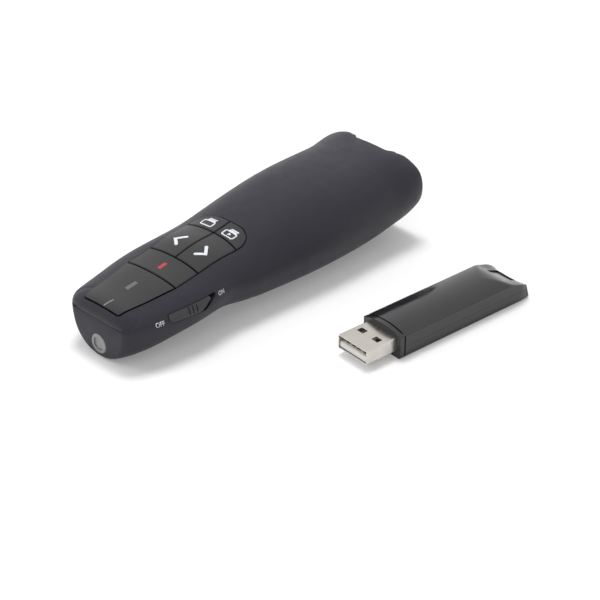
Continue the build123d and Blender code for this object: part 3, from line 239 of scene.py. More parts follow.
def start_material(name, **shader):
    """A material with its principled shader, whose sockets are set by name."""
    material = bpy.data.materials.new(name)
    material.use_nodes = True
    tree = material.node_tree
    principled = tree.nodes["Principled BSDF"]
    for socket, value in shader.items():
        principled.inputs[socket.replace("_", " ")].default_value = value
    place = add_node(tree, "ShaderNodeTexCoord").outputs["Object"]
    return material, tree, principled, place


def noise(tree, place, scale, detail=3.0, stretch=None):
    """A noise pattern on the object's own coordinates, stretched along its axes if asked."""
    if stretch:
        mapping = add_node(tree, "ShaderNodeMapping", {"Scale": stretch})
        tree.links.new(place, mapping.inputs["Vector"])
        place = mapping.outputs["Vector"]
    pattern = add_node(tree, "ShaderNodeTexNoise", {"Scale": scale, "Detail": detail})
    tree.links.new(place, pattern.inputs["Vector"])
    return pattern.outputs["Fac"]


def spread(tree, source, low, high, start=0.3, end=0.7):
    """A value that runs from low to high where the source runs from start to end."""
    levels = {"From Min": start, "From Max": end, "To Min": low, "To Max": high}
    ranger = add_node(tree, "ShaderNodeMapRange", levels)
    tree.links.new(source, ranger.inputs["Value"])
    return ranger.outputs["Result"]


def two_tone(tree, source, first, second):
    """A colour between two, by the source."""
    mix = add_node(tree, "ShaderNodeMix", data_type="RGBA")
    mix.inputs[6].default_value = first
    mix.inputs[7].default_value = second
    tree.links.new(source, mix.inputs["Factor"])
    return mix.outputs[2]


def add_bump(tree, principled, height, depth, strength=1.0):
    """Relief on the shader's normal."""
    bump = add_node(tree, "ShaderNodeBump", {"Distance": depth, "Strength": strength})
    tree.links.new(height, bump.inputs["Height"])
    tree.links.new(bump.outputs["Normal"], principled.inputs["Normal"])


def moulded(name, colour, roughness, grain, depth, mottle=0.08, play=0.05, **shader):
    """Moulded plastic: mottled colour, uneven gloss and a fine grain."""
    material, tree, principled, place = start_material(name, **shader)
    broad = noise(tree, place, 90.0)
    tint = spread(tree, broad, 0.0, 1.0)
    tone = two_tone(tree, tint, shade(colour, 1 - mottle), shade(colour, 1 + mottle))
    tree.links.new(tone, principled.inputs["Base Color"])
    patchy = noise(tree, place, 260.0, 5.0)
    gloss = spread(tree, patchy, roughness - play, roughness + play)
    tree.links.new(gloss, principled.inputs["Roughness"])
    add_bump(tree, principled, noise(tree, place, grain, 4.0), depth)
    return material


def metal(name, colour, roughness, stretch=(1.0, 12.0, 1.0)):
    """Plated or rolled metal with faint drawn lines and stains."""
    material, tree, principled, place = start_material(name, Metallic=1.0)
    stain = spread(tree, noise(tree, place, 140.0, 5.0), 0.0, 1.0)
    tone = two_tone(tree, stain, shade(colour, 0.93), shade(colour, 1.04))
    tree.links.new(tone, principled.inputs["Base Color"])
    lines = noise(tree, place, 700.0, 2.0, stretch)
    gloss = spread(tree, lines, roughness - 0.06, roughness + 0.08)
    tree.links.new(gloss, principled.inputs["Roughness"])
    add_bump(tree, principled, lines, 0.004 * MM)
    return material


def soft_coat(colours):
    """The handset's rubbery coat: matt, finely grained, with a faint bloom at grazing angles."""
    return moulded(
        "soft coat", colours.coat, 0.50, 5200.0, 0.006 * MM, mottle=0.06, play=0.04,
        Sheen_Weight=0.04, Sheen_Roughness=0.5, Specular_IOR_Level=0.36,
    )


def polished_black(colours):
    """Polished black plastic with the faint unevenness and dust of a handled surface."""
    material, tree, principled, place = start_material(
        "polished black", Coat_Weight=0.1, Coat_Roughness=0.06, Specular_IOR_Level=0.5,
    )
    specks = spread(tree, noise(tree, place, 2600.0, 2.0), 0.0, 1.0, 0.70, 0.76)
    tone = two_tone(tree, specks, shade(colours.gloss, 1.0), shade(colours.gloss, 2.6))
    tree.links.new(tone, principled.inputs["Base Color"])
    smears = noise(tree, place, 120.0, 6.0, (1.0, 3.0, 1.0))
    tree.links.new(spread(tree, smears, 0.10, 0.24), principled.inputs["Roughness"])
    add_bump(tree, principled, noise(tree, place, 160.0, 2.0), 0.01 * MM)
    return material


def printed(name, colour):
    """Pad-printed ink: flat, slightly broken up by the surface under it."""
    return moulded(name, colour, 0.45, 9000.0, 0.004 * MM, mottle=0.05, play=0.06)


def circuit_board():
    """Green solder resist over copper tracks."""
    material, tree, principled, place = start_material("circuit board", Coat_Weight=0.3)
    grid = add_node(
        tree, "ShaderNodeTexBrick",
        {"Scale": 420.0, "Mortar Size": 0.06, "Brick Width": 0.9, "Row Height": 0.34},
    )
    tree.links.new(place, grid.inputs["Vector"])
    tracks = two_tone(tree, grid.outputs["Fac"], (0.010, 0.085, 0.034, 1), (0.022, 0.15, 0.060, 1))
    tree.links.new(tracks, principled.inputs["Base Color"])
    gloss = spread(tree, noise(tree, place, 300.0), 0.28, 0.42)
    tree.links.new(gloss, principled.inputs["Roughness"])
    add_bump(tree, principled, grid.outputs["Fac"], 0.03 * MM)
    return material


def cell_jacket():
    """A cell's printed sleeve: dark along most of its length, with a pale band at one end."""
    material, tree, principled, place = start_material("cell jacket", Metallic=0.6)
    along = add_node(tree, "ShaderNodeSeparateXYZ")
    tree.links.new(place, along.inputs["Vector"])
    band = spread(tree, along.outputs["X"], 0.0, 1.0, 0.0115, 0.0120)
    tone = two_tone(tree, band, (0.040, 0.050, 0.075, 1), (0.55, 0.56, 0.58, 1))
    tree.links.new(tone, principled.inputs["Base Color"])
    gloss = spread(tree, noise(tree, place, 200.0), 0.25, 0.38)
    tree.links.new(gloss, principled.inputs["Roughness"])
    add_bump(tree, principled, noise(tree, place, 900.0), 0.01 * MM)
    return material


def clear_window():
    """The laser's clear window, lightly tinted."""
    material, tree, principled, place = start_material(
        "laser window", Transmission_Weight=0.15, IOR=1.49,
    )
    haze = spread(tree, noise(tree, place, 900.0, 4.0), 0.0, 1.0)
    tone = two_tone(tree, haze, (0.34, 0.34, 0.35, 1), (0.44, 0.44, 0.45, 1))
    tree.links.new(tone, principled.inputs["Base Color"])
    tree.links.new(spread(tree, haze, 0.12, 0.22, 0.0, 1.0), principled.inputs["Roughness"])
    return material


def finishes(colours):
    """What makes each finish, by the finish's name."""
    return {
        "soft_body": lambda: soft_coat(colours),
        "gloss_black": lambda: polished_black(colours),
        "clear_grey": lambda: moulded(
            "indicator lens", (0.105, 0.105, 0.11), 0.22, 2000.0, 0.004 * MM, Coat_Weight=0.2),
        "slider_grey": lambda: moulded(
            "slider plastic", colours.slider, 0.48, 4200.0, 0.008 * MM),
        "inner_black": lambda: moulded(
            "inner frame", (0.018, 0.018, 0.019), 0.50, 2400.0, 0.02 * MM),
        "key_stem_white": lambda: moulded(
            "stem plastic", (0.55, 0.55, 0.53), 0.4, 2400.0, 0.01 * MM),
        "component_black": lambda: moulded(
            "component", (0.016, 0.016, 0.017), 0.45, 5000.0, 0.01 * MM),
        "board_green": circuit_board,
        "steel": lambda: metal("steel", (0.56, 0.56, 0.57), 0.32),
        "plug_nickel": lambda: metal("plug plating", colours.nickel, 0.30, (1.0, 10.0, 1.0)),
        "contact_gold": lambda: metal("gold plating", (0.80, 0.58, 0.26), 0.25),
        "laser_brass": lambda: metal("brass", (0.72, 0.52, 0.24), 0.30, (8.0, 1.0, 1.0)),
        "lens_grey": lambda: moulded(
            "laser ring", (0.30, 0.30, 0.305), 0.34, 3600.0, 0.006 * MM),
        "window_clear": clear_window,
        "cell_jacket": cell_jacket,
        "white_plastic": lambda: moulded(
            "white plastic", (0.80, 0.80, 0.79), 0.35, 2400.0, 0.008 * MM),
        # The pale plate in the receiver's thumb recess: its pale colour is a painted reflection of the
        # white surroundings on the glossy recess floor, not the colour of a window.
        "pale_window": lambda: moulded(
            "pale window", (0.42, 0.42, 0.44), 0.35, 2400.0, 0.006 * MM, Coat_Weight=0.3),
        "white_ink": lambda: printed("white ink", colours.white_ink),
        "red_ink": lambda: printed("red ink", colours.red_ink),
        "grey_ink": lambda: printed("grey ink", colours.grey_ink),
    }


MADE = {}


def finish(name):
    """The finish of that name, made the first time that it is asked for."""
    if name not in MADE:
        MADE[name] = finishes(bpy.context.scene.clicker_colours)[name]()
    return MADE[name]


def dress(node, finish_name):
    """Give a node that keeps its own mesh its finish."""
    mesh = frame["nodes"][node].data
    mesh.materials.clear()
    mesh.materials.append(finish(finish_name))


# ------------------------------------------------------------------ tools for shaping
def only(piece):
    """Make one object the selected and active one."""
    bpy.ops.object.select_all(action="DESELECT")
    piece.select_set(True)
    bpy.context.view_layer.objects.active = piece
    return piece


def settle(piece, name, finish_name, body):
    """Name a finished piece, give it its finish and hang it on its body."""
    only(piece)
    bpy.ops.object.transform_apply(location=True, rotation=True, scale=True)
    piece.name = name
    piece.data.name = name
    piece.data.materials.clear()
    piece.data.materials.append(finish(finish_name))
    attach(piece, body)
    return piece


def own_copy(node, name):
    """A welded copy of a node, for shaping, which then stands for the node."""
    only(frame["nodes"][node])
    bpy.ops.object.duplicate()
    piece = bpy.context.object
    del piece["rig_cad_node"]
    bpy.ops.mesh.customdata_custom_splitnormals_clear()
    bpy.ops.object.mode_set(mode="EDIT")
    bpy.ops.mesh.select_all(action="SELECT")
    bpy.ops.mesh.remove_doubles(threshold=WELD)
    bpy.ops.object.mode_set(mode="OBJECT")
    settle(piece, name, slot_of(node), body_of(node))
    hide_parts(node)
    return piece


def reshape(piece, moved):
    """Move every point of a piece to where a rule says, and shade it smooth again."""
    for point in piece.data.vertices:
        point.co = moved(point.co.copy())
    piece.data.update()
    only(piece)
    bpy.ops.object.shade_smooth_by_angle(angle=SMOOTH_ANGLE)


def slice_at(piece, place, normal, ahead_of=None):
    """Cut a line of edges into a piece along a plane, or only into what lies ahead of an X."""
    only(piece)
    bpy.ops.object.mode_set(mode="EDIT")
    bpy.ops.mesh.select_all(action="SELECT")
    if ahead_of is not None:
        bpy.ops.mesh.select_all(action="DESELECT")
        mesh = bmesh.from_edit_mesh(piece.data)
        for face in mesh.faces:
            face.select_set(any(point.co.x > ahead_of for point in face.verts))
    bpy.ops.mesh.bisect(plane_co=place, plane_no=normal)
    bpy.ops.object.mode_set(mode="OBJECT")


def strip_sides(path, width, closed):
    """The left and right corners of a flat strip at each point of its line, mitred."""
    sides = []
    count = len(path)
    for index, point in enumerate(path):
        ways = []
        if closed or index > 0:
            ways.append((point - path[index - 1]).normalized())
        if closed or index < count - 1:
            ways.append((path[(index + 1) % count] - point).normalized())
        lefts = [Vector((-way.y, way.x, 0.0)) for way in ways]
        reach = sum(lefts, Vector()) * (width / 2)
        if len(lefts) == 2:
            reach /= 1 + lefts[0].dot(lefts[-1])
        sides.append((point + reach, point - reach))
    return sides


def strip(path, width, closed=False, rounded=True):
    """A flat strip of even width along a line, extruded from a plane one run at a time."""
    sides = strip_sides(path, width, closed)
    bpy.ops.object.select_all(action="DESELECT")
    bpy.ops.mesh.primitive_plane_add(size=width, location=(0.0, 0.0, 0.0))
    piece = bpy.context.object
    bpy.ops.object.mode_set(mode="EDIT")
    mesh = bmesh.from_edit_mesh(piece.data)
    mesh.verts.ensure_lookup_table()
    first_right, end_right, first_left, end_left = mesh.verts[:4]
    first_left.co, first_right.co = sides[0]
    end_left.co, end_right.co = sides[1]
    for left, right in sides[2:] + (sides[:1] if closed else []):
        before = end_left.co.copy()
        bpy.ops.mesh.select_all(action="DESELECT")
        end_left.select = end_right.select = True
        mesh.select_flush(True)
        bpy.ops.mesh.extrude_edges_move()
        mesh = bmesh.from_edit_mesh(piece.data)
        fresh = [point for point in mesh.verts if point.select]
        end_left, end_right = sorted(fresh, key=lambda point: (point.co - before).length)
        end_left.co, end_right.co = left, right
    bmesh.update_edit_mesh(piece.data)
    bpy.ops.mesh.select_all(action="SELECT")
    bpy.ops.mesh.remove_doubles(threshold=WELD)
    if rounded and not closed:
        mesh = bmesh.from_edit_mesh(piece.data)
        ends = sides[0] + sides[-1]
        bpy.ops.mesh.select_all(action="DESELECT")
        for point in mesh.verts:
            point.select = any((point.co - end).length < WELD for end in ends)
        mesh.select_flush(True)
        bpy.ops.mesh.bevel(offset=width * STROKE_ROUNDING, segments=4, affect="VERTICES")
    bpy.ops.object.mode_set(mode="OBJECT")
    return piece


def join(pieces):
    """Several loose pieces as one."""
    bpy.ops.object.select_all(action="DESELECT")
    for piece in pieces:
        piece.select_set(True)
    bpy.context.view_layer.objects.active = pieces[0]
    bpy.ops.object.join()
    return bpy.context.object


def press_on(mark, surface, axis, ink):
    """Lay a flat mark on a surface along an axis and give it the ink's thickness."""
    only(mark)
    bpy.ops.object.mode_set(mode="EDIT")
    bpy.ops.mesh.select_all(action="SELECT")
    bpy.ops.mesh.quads_convert_to_tris()
    bpy.ops.mesh.subdivide(number_cuts=MARK_CUTS)
    bpy.ops.object.mode_set(mode="OBJECT")
    wrap = mark.modifiers.new("wrap", "SHRINKWRAP")
    wrap.target = surface
    wrap.wrap_method = "PROJECT"
    wrap.wrap_mode = "ABOVE_SURFACE"
    setattr(wrap, "use_project_" + axis, True)
    wrap.use_negative_direction = True
    wrap.use_positive_direction = False
    wrap.offset = ink
    layer = mark.modifiers.new("layer", "SOLIDIFY")
    layer.thickness = 2 * ink
    layer.offset = -1.0
    bpy.ops.object.modifier_apply(modifier="wrap")
    bpy.ops.object.modifier_apply(modifier="layer")
    return mark


def raise_above(mark):
    """Lift a flat mark clear of the keypad, ready to be pressed on."""
    only(mark)
    bpy.ops.transform.translate(value=(0.0, 0.0, MARK_START))
    bpy.ops.object.transform_apply(location=True, rotation=True, scale=True)
    return mark


def print_key(mark, node, name, finish_name):
    """Print a flat mark on a key, which it then moves with."""
    ink = bpy.context.scene.clicker_marks.ink
    press_on(raise_above(mark), frame["nodes"][node], "z", ink)
    settle(mark, name, finish_name, body_of(node))


def receiver_place(point):
    """A point in the receiver's own frame: along it, across it and up."""
    return Matrix.Rotation(-RECEIVER_TURN, 3, "Z") @ (point - RECEIVER_ROOT)


def receiver_point(place):
    """Back from the receiver's own frame."""
    return Matrix.Rotation(RECEIVER_TURN, 3, "Z") @ place + RECEIVER_ROOT


def body_of(node):
    """The body that a node belongs to."""
    return frame["nodes"][node]["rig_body"]


def slot_of(node):
    """The material slot that the record gives a node."""
    for entry in frame["record"]["subparts"]:
        if entry["node"] == node:
            return entry["material_slot"]
    raise ValueError(f"no material slot for {node}")


# ------------------------------------------------------------------ stage
def area_light(name, place, size, power):
    """A square soft lamp aimed at the origin, which shiny surfaces do not mirror."""
    bpy.ops.object.light_add(type="AREA", location=place)
    lamp = bpy.context.object
    lamp.name = name
    lamp.data.shape = "SQUARE"
    lamp.data.size = size
    lamp.data.energy = power
    lamp.visible_glossy = False
    direction = -Vector(place)
    lamp.rotation_euler = direction.to_track_quat("-Z", "Y").to_euler()


def light_path_switch(tree, plain, shown):
    """A level that is plain for scattered light and shown where the background itself is seen."""
    path = add_node(tree, "ShaderNodeLightPath")
    total = path.outputs[SHOWN_RAYS[0]]
    for output in SHOWN_RAYS[1:]:
        larger = add_node(tree, "ShaderNodeMath", operation="MAXIMUM")
        tree.links.new(total, larger.inputs[0])
        tree.links.new(path.outputs[output], larger.inputs[1])
        total = larger.outputs[0]
    return spread(tree, total, plain, shown, 0.0, 1.0)


# ------------------------------------------------------------------ operators
class CLICKER_OT_shells(bpy.types.Operator):
    """Coat the two shells and the battery door."""

    bl_idname = "clicker.shells"
    bl_label = "Coat the housing"

    def execute(self, context):
        for node in HOUSING:
            dress(node, "soft_body")
        return {"FINISHED"}


class CLICKER_OT_inside(bpy.types.Operator):
    """Finish the pieces that keep their own mesh."""

    bl_idname = "clicker.inside"
    bl_label = "Finish the other pieces"

    def execute(self, context):
        for node in frame["nodes"]:
            if node not in HOUSING:
                dress(node, slot_of(node))
        return {"FINISHED"}


class CLICKER_OT_tail(bpy.types.Operator):
    """Fill out the housing's corners at the tail, soften its two horns and crease its nose."""

    bl_idname = "clicker.tail"
    bl_label = "Shape the tail and the nose"

    # The fuller corners: where they start along and across, how far they go out and up.
    start = -24.0 * MM
    corner_push = 1.5 * MM
    corner_start = 10.0 * MM
    corner_full = 17.0 * MM
    widest = 19.85 * MM
    rise = 0.9 * MM
    shoulder_start = 4 * MM
    shoulder_foot = 11 * MM
    shoulder_blend = 9 * MM
    # The horns beside the mouth: their tips, how far they reach, and how deep they are cut back.
    horn_edge = 9.0 * MM
    horn_reach = 3.4 * MM
    horn_depth = 1.0 * MM
    horn_length = 3 * MM
    notch_floor = 6.4 * MM
    # The crease round the nose: its height, its tilt, its section and where it dies out.
    crease_height = 12.7 * MM
    crease_tilt = math.radians(31)
    crease_depth = 0.28 * MM
    crease_width = 0.32 * MM
    crease_length = 9 * MM
    crease_fade = 6 * MM
    crease_cuts = 3
    cut_gap = 0.6
    nose_middle = Vector((60.0, 0.0, 12.0)) * MM

    def execute(self, context):
        for node, name in (("top_shell", "top_housing"), ("bottom_shell", "bottom_housing")):
            piece = own_copy(node, name)
            if node == "top_shell":
                self.cut_crease(piece)
                self.press_crease(piece)
            reshape(piece, self.fuller)
        return {"FINISHED"}

    @property
    def crease(self):
        """Where the nose's crease meets its front."""
        return Vector((NOSE, 0.0, self.crease_height))

    @property
    def across(self):
        """The direction straight across the crease."""
        return Vector((math.sin(self.crease_tilt), 0.0, math.cos(self.crease_tilt)))

    def cut_crease(self, piece):
        """Cut the edges that the crease needs into the nose."""
        for step in range(-self.crease_cuts, self.crease_cuts + 1):
            lift = Vector((0.0, 0.0, step * self.crease_width * self.cut_gap))
            slice_at(piece, self.crease + lift, self.across, NOSE - self.crease_length)

    def press_crease(self, piece):
        """Sink the soft line that runs round the nose and dies out along the flanks."""
        for point in piece.data.vertices:
            distance = (point.co - self.crease).dot(self.across)
            fade = ease((point.co.x - NOSE + self.crease_length) / self.crease_fade)
            outside = point.normal.dot(point.co - self.nose_middle) > 0
            if fade and outside and abs(distance) < 3 * self.crease_width:
                share = math.exp(-(distance / self.crease_width) ** 2)
                point.co -= point.normal * self.crease_depth * share * fade

    def fuller(self, point):
        """Where a point of the tail belongs."""
        back = ease((self.start - point.x) / (self.start - TAIL))
        side = ease((abs(point.y) - self.corner_start) / (self.corner_full - self.corner_start))
        if back and side:
            wide = min(abs(point.y) + self.corner_push * back * side, self.widest)
            point.y = math.copysign(max(wide, abs(point.y)), point.y)
        shoulder = ease((abs(point.y) - self.shoulder_start) / self.shoulder_blend)
        shoulder *= ease((point.z - self.shoulder_foot) / self.shoulder_blend)
        point.z += self.rise * back * shoulder
        beyond = abs(point.y) - self.horn_edge
        if beyond > 0:
            share = max(0.0, 1 - beyond / self.horn_reach) ** 2
        else:
            share = max(0.0, 1 + beyond / (self.horn_edge - self.notch_floor))
        close = max(0.0, 1 - (point.x - TAIL) / self.horn_length)
        point.x += self.horn_depth * share * close
        return point


class CLICKER_OT_receiver(bpy.types.Operator):
    """Slope the receiver's rear end and lay a pale plate in its thumb recess, whose colour is a painted
    reflection of the white surroundings.
    """

    bl_idname = "clicker.receiver"
    bl_label = "Shape the receiver"

    # The rings of edges that the slope needs.
    rings = 13
    ring_gap = 0.95 * MM
    # Where the CAD cover is measured: its level stretch, its edge, and the slope beside its recess.
    level_at = -20 * MM
    edge_share = 0.98
    beside_recess = 4.6 * MM
    # The rear end: its top, the height that its lip comes down to, and how long the lip is.
    top = 8.4 * MM
    lip_height = 4.0 * MM
    lip_length = 2.4 * MM
    # The thumb recess: its half width, its blend, and how far it moves at places along it (mm).
    recess_half = 3.9 * MM
    recess_blend = 2.4 * MM
    recess_stops = ((-41.0, 0.0), (-46.3, 1.7), (-49.8, 0.9), (-50.5, 0.0))
    # The end's bulge and the lean and narrowing of its last stretch.
    bulge_start = -44 * MM
    bulge_length = 5 * MM
    lean_start = -48.5 * MM
    lean_length = 2 * MM
    lean_top = 1.2 * MM
    lean_foot = 0.9 * MM
    lean_height = 4.2 * MM
    narrowing = 0.06
    # The pale plate, whose colour is a painted reflection on the recess floor.
    plate_size = (5.4 * MM, 7.7 * MM, 0.8 * MM)
    plate_place = Vector((-46.8, 0.0, 4.75)) * MM
    plate_rounding = 0.12 * MM

    def execute(self, context):
        cover = frame["nodes"]["receiver_cover"].data
        self.cover = BVHTree.FromPolygons(
            [point.co for point in cover.vertices], [face.vertices for face in cover.polygons])
        along = Matrix.Rotation(RECEIVER_TURN, 3, "Z") @ Vector((1.0, 0.0, 0.0))
        for node, name in (("receiver_cover", "receiver_top"), ("receiver_base", "receiver_tray")):
            piece = own_copy(node, name)
            for step in range(self.rings):
                place = Vector((SLOPE_START + SLOPE_SOFT - step * self.ring_gap, 0.0, 0.0))
                slice_at(piece, receiver_point(place), along)
            reshape(piece, self.sloped)
        # Lay the pale plate on the recess floor, a painted reflection of the white surroundings.
        self.window()
        return {"FINISHED"}

    def top_at(self, along, across):
        """Height of the CAD cover's outside."""
        start = receiver_point(Vector((along, across, 50 * MM)))
        place = self.cover.ray_cast(start, Vector((0.0, 0.0, -1.0)))[0]
        return place.z if place else None

    def sloped(self, point):
        """Where a point of the rear end belongs."""
        place = receiver_place(point)
        if place.x > SLOPE_START + SLOPE_SOFT:
            return point
        across = min(abs(place.y), RECEIVER_HALF * self.edge_share)
        crown = self.top_at(self.level_at, across)
        now = min(crown, self.cad_slope(place.x, crown))
        middle = 1 - ease((across - self.recess_half) / self.recess_blend)
        place.x += middle * self.recess_shift(place.x)
        goal = min(crown, self.top - self.fall(place.x))
        if place.z > RECEIVER_SEAM and now > RECEIVER_SEAM:
            share = min(1.0, (place.z - RECEIVER_SEAM) / (now - RECEIVER_SEAM))
            place.z = RECEIVER_SEAM + share * (goal - RECEIVER_SEAM)
        out = ease((self.bulge_start - place.x) / self.bulge_length)
        place.x -= END_BULGE * (place.y / RECEIVER_HALF) ** 2 * out
        last = ease((self.lean_start - place.x) / self.lean_length)
        lean = self.lean_top * min(place.z / self.lean_height, 1.2) - self.lean_foot
        place.x += lean * last
        place.y *= 1 - self.narrowing * last
        return receiver_point(place)

    def cad_slope(self, along, crown):
        """Height of the CAD cover beside its recess, brought down over the lip."""
        lip = END_X + self.lip_length
        height = self.top_at(max(along, lip), self.beside_recess) or crown
        if along < lip:
            height += (self.lip_height - height) * min((lip - along) / self.lip_length, 1.0)
        return height

    def fall(self, along):
        """How far the worn slope lies under the top."""
        past = SLOPE_START - along
        if past >= SLOPE_SOFT:
            return past * SLOPE_FALL
        return (past + SLOPE_SOFT) ** 2 / (4 * SLOPE_SOFT) * SLOPE_FALL

    def recess_shift(self, along):
        """How far the thumb recess moves towards the plug."""
        for (start, first), (stop, second) in zip(self.recess_stops, self.recess_stops[1:]):
            if stop * MM <= along <= start * MM:
                return (first + (second - first) * (along / MM - start) / (stop - start)) * MM
        return 0.0

    def window(self):
        """A thin pale plate on the recess floor, whose colour is a painted reflection of the white
        surroundings.
        """
        bpy.ops.object.select_all(action="DESELECT")
        bpy.ops.mesh.primitive_cube_add(size=1.0, location=(0.0, 0.0, 0.0))
        plate = bpy.context.object
        plate.scale = self.plate_size
        plate.rotation_euler = (0.0, -math.atan(SLOPE_FALL), RECEIVER_TURN)
        plate.location = receiver_point(self.plate_place)
        bpy.ops.object.transform_apply(location=True, rotation=True, scale=True)
        bpy.ops.object.mode_set(mode="EDIT")
        bpy.ops.mesh.select_all(action="SELECT")
        bpy.ops.mesh.bevel(offset=self.plate_rounding, segments=2)
        bpy.ops.object.mode_set(mode="OBJECT")
        # The pale finish given here is painted reflection, not a window.
        settle(plate, "painted_reflection_plate", "pale_window", body_of("receiver_cover"))


class CLICKER_OT_screws(bpy.types.Operator):
    """Sink the housing's screws below the skin."""

    bl_idname = "clicker.screws"
    bl_label = "Sink the screws"

    rear = -15.0 * MM
    rear_lift = 1.9 * MM
    front_lift = 0.9 * MM

    def execute(self, context):
        piece = own_copy("housing_screws", "case_screws")
        reshape(piece, self.sunk)
        return {"FINISHED"}

    def sunk(self, point):
        """Where a point of a screw belongs."""
        lift = self.rear_lift if point.x < self.rear else self.front_lift
        return point + Vector((0.0, 0.0, lift))


class CLICKER_OT_arrows(bpy.types.Operator):
    """Print the arrows on the two page keys."""

    bl_idname = "clicker.arrows"
    bl_label = "Print the arrows"

    def execute(self, context):
        stroke = context.scene.clicker_marks.stroke
        for side, node in ((1, "back_key"), (-1, "forward_key")):
            path = [spot(back, side * left) for back, left in ARROW]
            print_key(strip(path, stroke), node, f"{node}_arrow", "white_ink")
        return {"FINISHED"}


class CLICKER_OT_icons(bpy.types.Operator):
    """Print the symbols on the two round keys."""

    bl_idname = "clicker.icons"
    bl_label = "Print the symbols"

    def execute(self, context):
        for node, centre in (("slideshow_key", ICON_SLIDESHOW), ("blank_key", ICON_BLANK)):
            print_key(self.icon(context, node, centre), node, f"{node}_symbol", "white_ink")
        return {"FINISHED"}

    def icon(self, context, node, centre):
        """A rounded screen with two sheets behind it, and a play mark on one of the keys."""
        stroke = context.scene.clicker_marks.icon_stroke

        def near(place):
            return spot(centre[0] + place[0], centre[1] + place[1])

        parts = [strip([near(place) for place in ICON_FRAME], stroke, closed=True)]
        parts += [strip([near(place) for place in line], stroke) for line in ICON_SHEETS]
        if node == "slideshow_key":
            bpy.ops.object.select_all(action="DESELECT")
            bpy.ops.mesh.primitive_circle_add(
                vertices=3, radius=PLAY_RADIUS, fill_type="NGON", location=near(ICON_PLAY))
            play = bpy.context.object
            bpy.ops.object.transform_apply(location=True, rotation=True, scale=True)
            bpy.ops.object.mode_set(mode="EDIT")
            bpy.ops.mesh.select_all(action="SELECT")
            bpy.ops.mesh.bevel(offset=PLAY_ROUNDING, segments=3, affect="VERTICES")
            bpy.ops.object.mode_set(mode="OBJECT")
            parts.append(play)
        return join(parts)


class CLICKER_OT_lines(bpy.types.Operator):
    """Print the laser key's dash and the panel's faint line."""

    bl_idname = "clicker.lines"
    bl_label = "Print the lines"

    def execute(self, context):
        dash = strip([spot(*place) for place in LASER_DASH], DASH_WIDTH, rounded=False)
        print_key(dash, "laser_key", "laser_key_dash", "red_ink")
        line = strip([spot(*place) for place in PANEL_LINE], PANEL_LINE_WIDTH)
        print_key(line, "indicator_panel", "panel_line", "grey_ink")
        return {"FINISHED"}


class CLICKER_OT_lettering(bpy.types.Operator):
    """Print OFF and ON at the two ends of the power switch."""

    bl_idname = "clicker.lettering"
    bl_label = "Print the lettering"

    def execute(self, context):
        marks = context.scene.clicker_marks
        skin = bpy.data.objects["top_housing"]
        for word, back, height, length in LETTERING:
            bpy.ops.object.select_all(action="DESELECT")
            bpy.ops.object.text_add(location=(0.0, 0.0, 0.0))
            text = bpy.context.object
            text.data.body = word
            text.data.size = 1.0
            text.data.align_x = "CENTER"
            text.data.align_y = "CENTER"
            text.data.offset = LETTER_WEIGHT
            text.data.resolution_u = 4
            bpy.ops.object.convert(target="MESH")
            text = bpy.context.object
            size = text.dimensions
            text.scale = (length * MM / size.x, marks.letter_height / size.y, 1.0)
            text.rotation_euler = (math.pi / 2, 0.0, math.pi)
            text.location = (from_nose(back), LETTER_START, height * MM)
            bpy.ops.object.transform_apply(location=True, rotation=True, scale=True)
            press_on(text, skin, "y", marks.ink)
            name = f"{word.lower()}_lettering"
            settle(text, name, "white_ink", body_of("top_shell"))
        return {"FINISHED"}


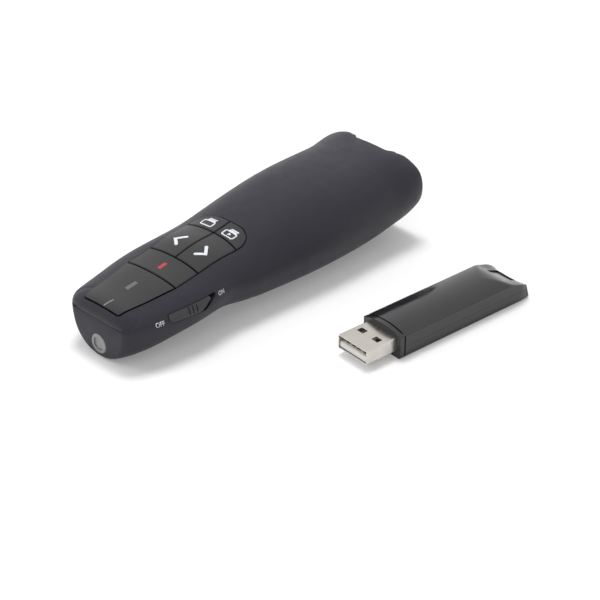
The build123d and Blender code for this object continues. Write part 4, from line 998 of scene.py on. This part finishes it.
class CLICKER_OT_stage(bpy.types.Operator):
    """Set the floor, the light and the camera."""

    bl_idname = "clicker.stage"
    bl_label = "Set the studio"

    def execute(self, context):
        studio = context.scene.clicker_studio
        bpy.ops.mesh.primitive_plane_add(size=FLOOR_SIZE, location=(0.0, 0.0, 0.0))
        floor = context.object
        floor.name = "studio_floor"
        floor.data.materials.append(self.floor_paint(studio))
        self.surroundings(context, studio)
        for lamp in LAMPS:
            area_light(*lamp)
        bpy.ops.object.camera_add(location=studio.camera)
        camera = context.object
        camera.name = "studio_camera"
        camera.data.lens = studio.lens
        camera.data.sensor_width = SENSOR_WIDTH
        look = Vector(studio.aim) - Vector(studio.camera)
        camera.rotation_euler = look.to_track_quat("-Z", "Y").to_euler()
        context.scene.camera = camera
        context.scene.view_settings.view_transform = "Standard"
        return {"FINISHED"}

    def floor_paint(self, studio):
        """A pale floor that looks white to the camera and keeps the shadow."""
        material, tree, principled, place = start_material("studio floor", Roughness=0.9)
        tone = spread(tree, noise(tree, place, 3.0), 0.0, 1.0)
        colour = two_tone(tree, tone, shade(studio.floor, 0.995), shade(studio.floor, 1.005))
        tree.links.new(colour, principled.inputs["Base Color"])
        principled.inputs["Emission Color"].default_value = (1.0, 1.0, 1.0, 1.0)
        glow = light_path_switch(tree, 0.0, FLOOR_GLOW)
        tree.links.new(glow, principled.inputs["Emission Strength"])
        below = add_node(tree, "ShaderNodeNewGeometry").outputs["Backfacing"]
        clear = add_node(tree, "ShaderNodeBsdfTransparent")
        either = add_node(tree, "ShaderNodeMixShader")
        tree.links.new(below, either.inputs["Fac"])
        tree.links.new(principled.outputs["BSDF"], either.inputs[1])
        tree.links.new(clear.outputs["BSDF"], either.inputs[2])
        tree.links.new(either.outputs["Shader"], tree.nodes["Material Output"].inputs["Surface"])
        return material

    def surroundings(self, context, studio):
        """Soft light from all round, stronger from above, that is itself seen as even white."""
        world = context.scene.world or bpy.data.worlds.new("studio")
        context.scene.world = world
        world.use_nodes = True
        tree = world.node_tree
        background = tree.nodes["Background"]
        level = light_path_switch(tree, studio.surround, 1.0)
        tree.links.new(level, background.inputs["Strength"])
        way = add_node(tree, "ShaderNodeSeparateXYZ")
        direction = add_node(tree, "ShaderNodeTexCoord").outputs["Generated"]
        tree.links.new(direction, way.inputs["Vector"])
        sky = spread(tree, way.outputs["Z"], 0.25, 1.0, 0.0, 0.5)
        seen = light_path_switch(tree, 0.0, 1.0)
        brighter = add_node(tree, "ShaderNodeMath", operation="MAXIMUM")
        tree.links.new(sky, brighter.inputs[0])
        tree.links.new(seen, brighter.inputs[1])
        tree.links.new(brighter.outputs[0], background.inputs["Color"])


class CLICKER_PT_panel(bpy.types.Panel):
    """The clicker's operators and settings in the sidebar."""

    bl_idname = "CLICKER_PT_panel"
    bl_label = "Presentation clicker"
    bl_space_type = "VIEW_3D"
    bl_region_type = "UI"
    bl_category = "Clicker"

    def draw(self, context):
        for operator in OPERATORS:
            self.layout.operator(operator.bl_idname)
        for settings in ("clicker_colours", "clicker_marks", "clicker_studio"):
            group = getattr(context.scene, settings)
            column = self.layout.column()
            for name in group.__annotations__:
                column.prop(group, name)


OPERATORS = (
    CLICKER_OT_inside,
    CLICKER_OT_shells,
    CLICKER_OT_tail,
    CLICKER_OT_receiver,
    CLICKER_OT_screws,
    CLICKER_OT_arrows,
    CLICKER_OT_icons,
    CLICKER_OT_lines,
    CLICKER_OT_lettering,
    CLICKER_OT_stage,
)
SETTINGS = {
    "clicker_colours": ClickerColours,
    "clicker_marks": ClickerMarks,
    "clicker_studio": ClickerStudio,
}


def register():
    """Add the settings, the operators and the panel to Blender."""
    for group in SETTINGS.values():
        bpy.utils.register_class(group)
    for operator in OPERATORS:
        bpy.utils.register_class(operator)
    bpy.utils.register_class(CLICKER_PT_panel)
    for name, group in SETTINGS.items():
        setattr(bpy.types.Scene, name, bpy.props.PointerProperty(type=group))


def unregister():
    """Take them out again."""
    for name in SETTINGS:
        delattr(bpy.types.Scene, name)
    bpy.utils.unregister_class(CLICKER_PT_panel)
    for operator in reversed(OPERATORS):
        bpy.utils.unregister_class(operator)
    for group in reversed(SETTINGS.values()):
        bpy.utils.unregister_class(group)


def main():
    """Make every piece in order."""
    register()
    bpy.ops.clicker.inside()
    bpy.ops.clicker.shells()
    bpy.ops.clicker.tail()
    bpy.ops.clicker.receiver()
    bpy.ops.clicker.screws()
    bpy.ops.clicker.arrows()
    bpy.ops.clicker.icons()
    bpy.ops.clicker.lines()
    bpy.ops.clicker.lettering()
    bpy.ops.clicker.stage()


if __name__ == "__main__":
    main()
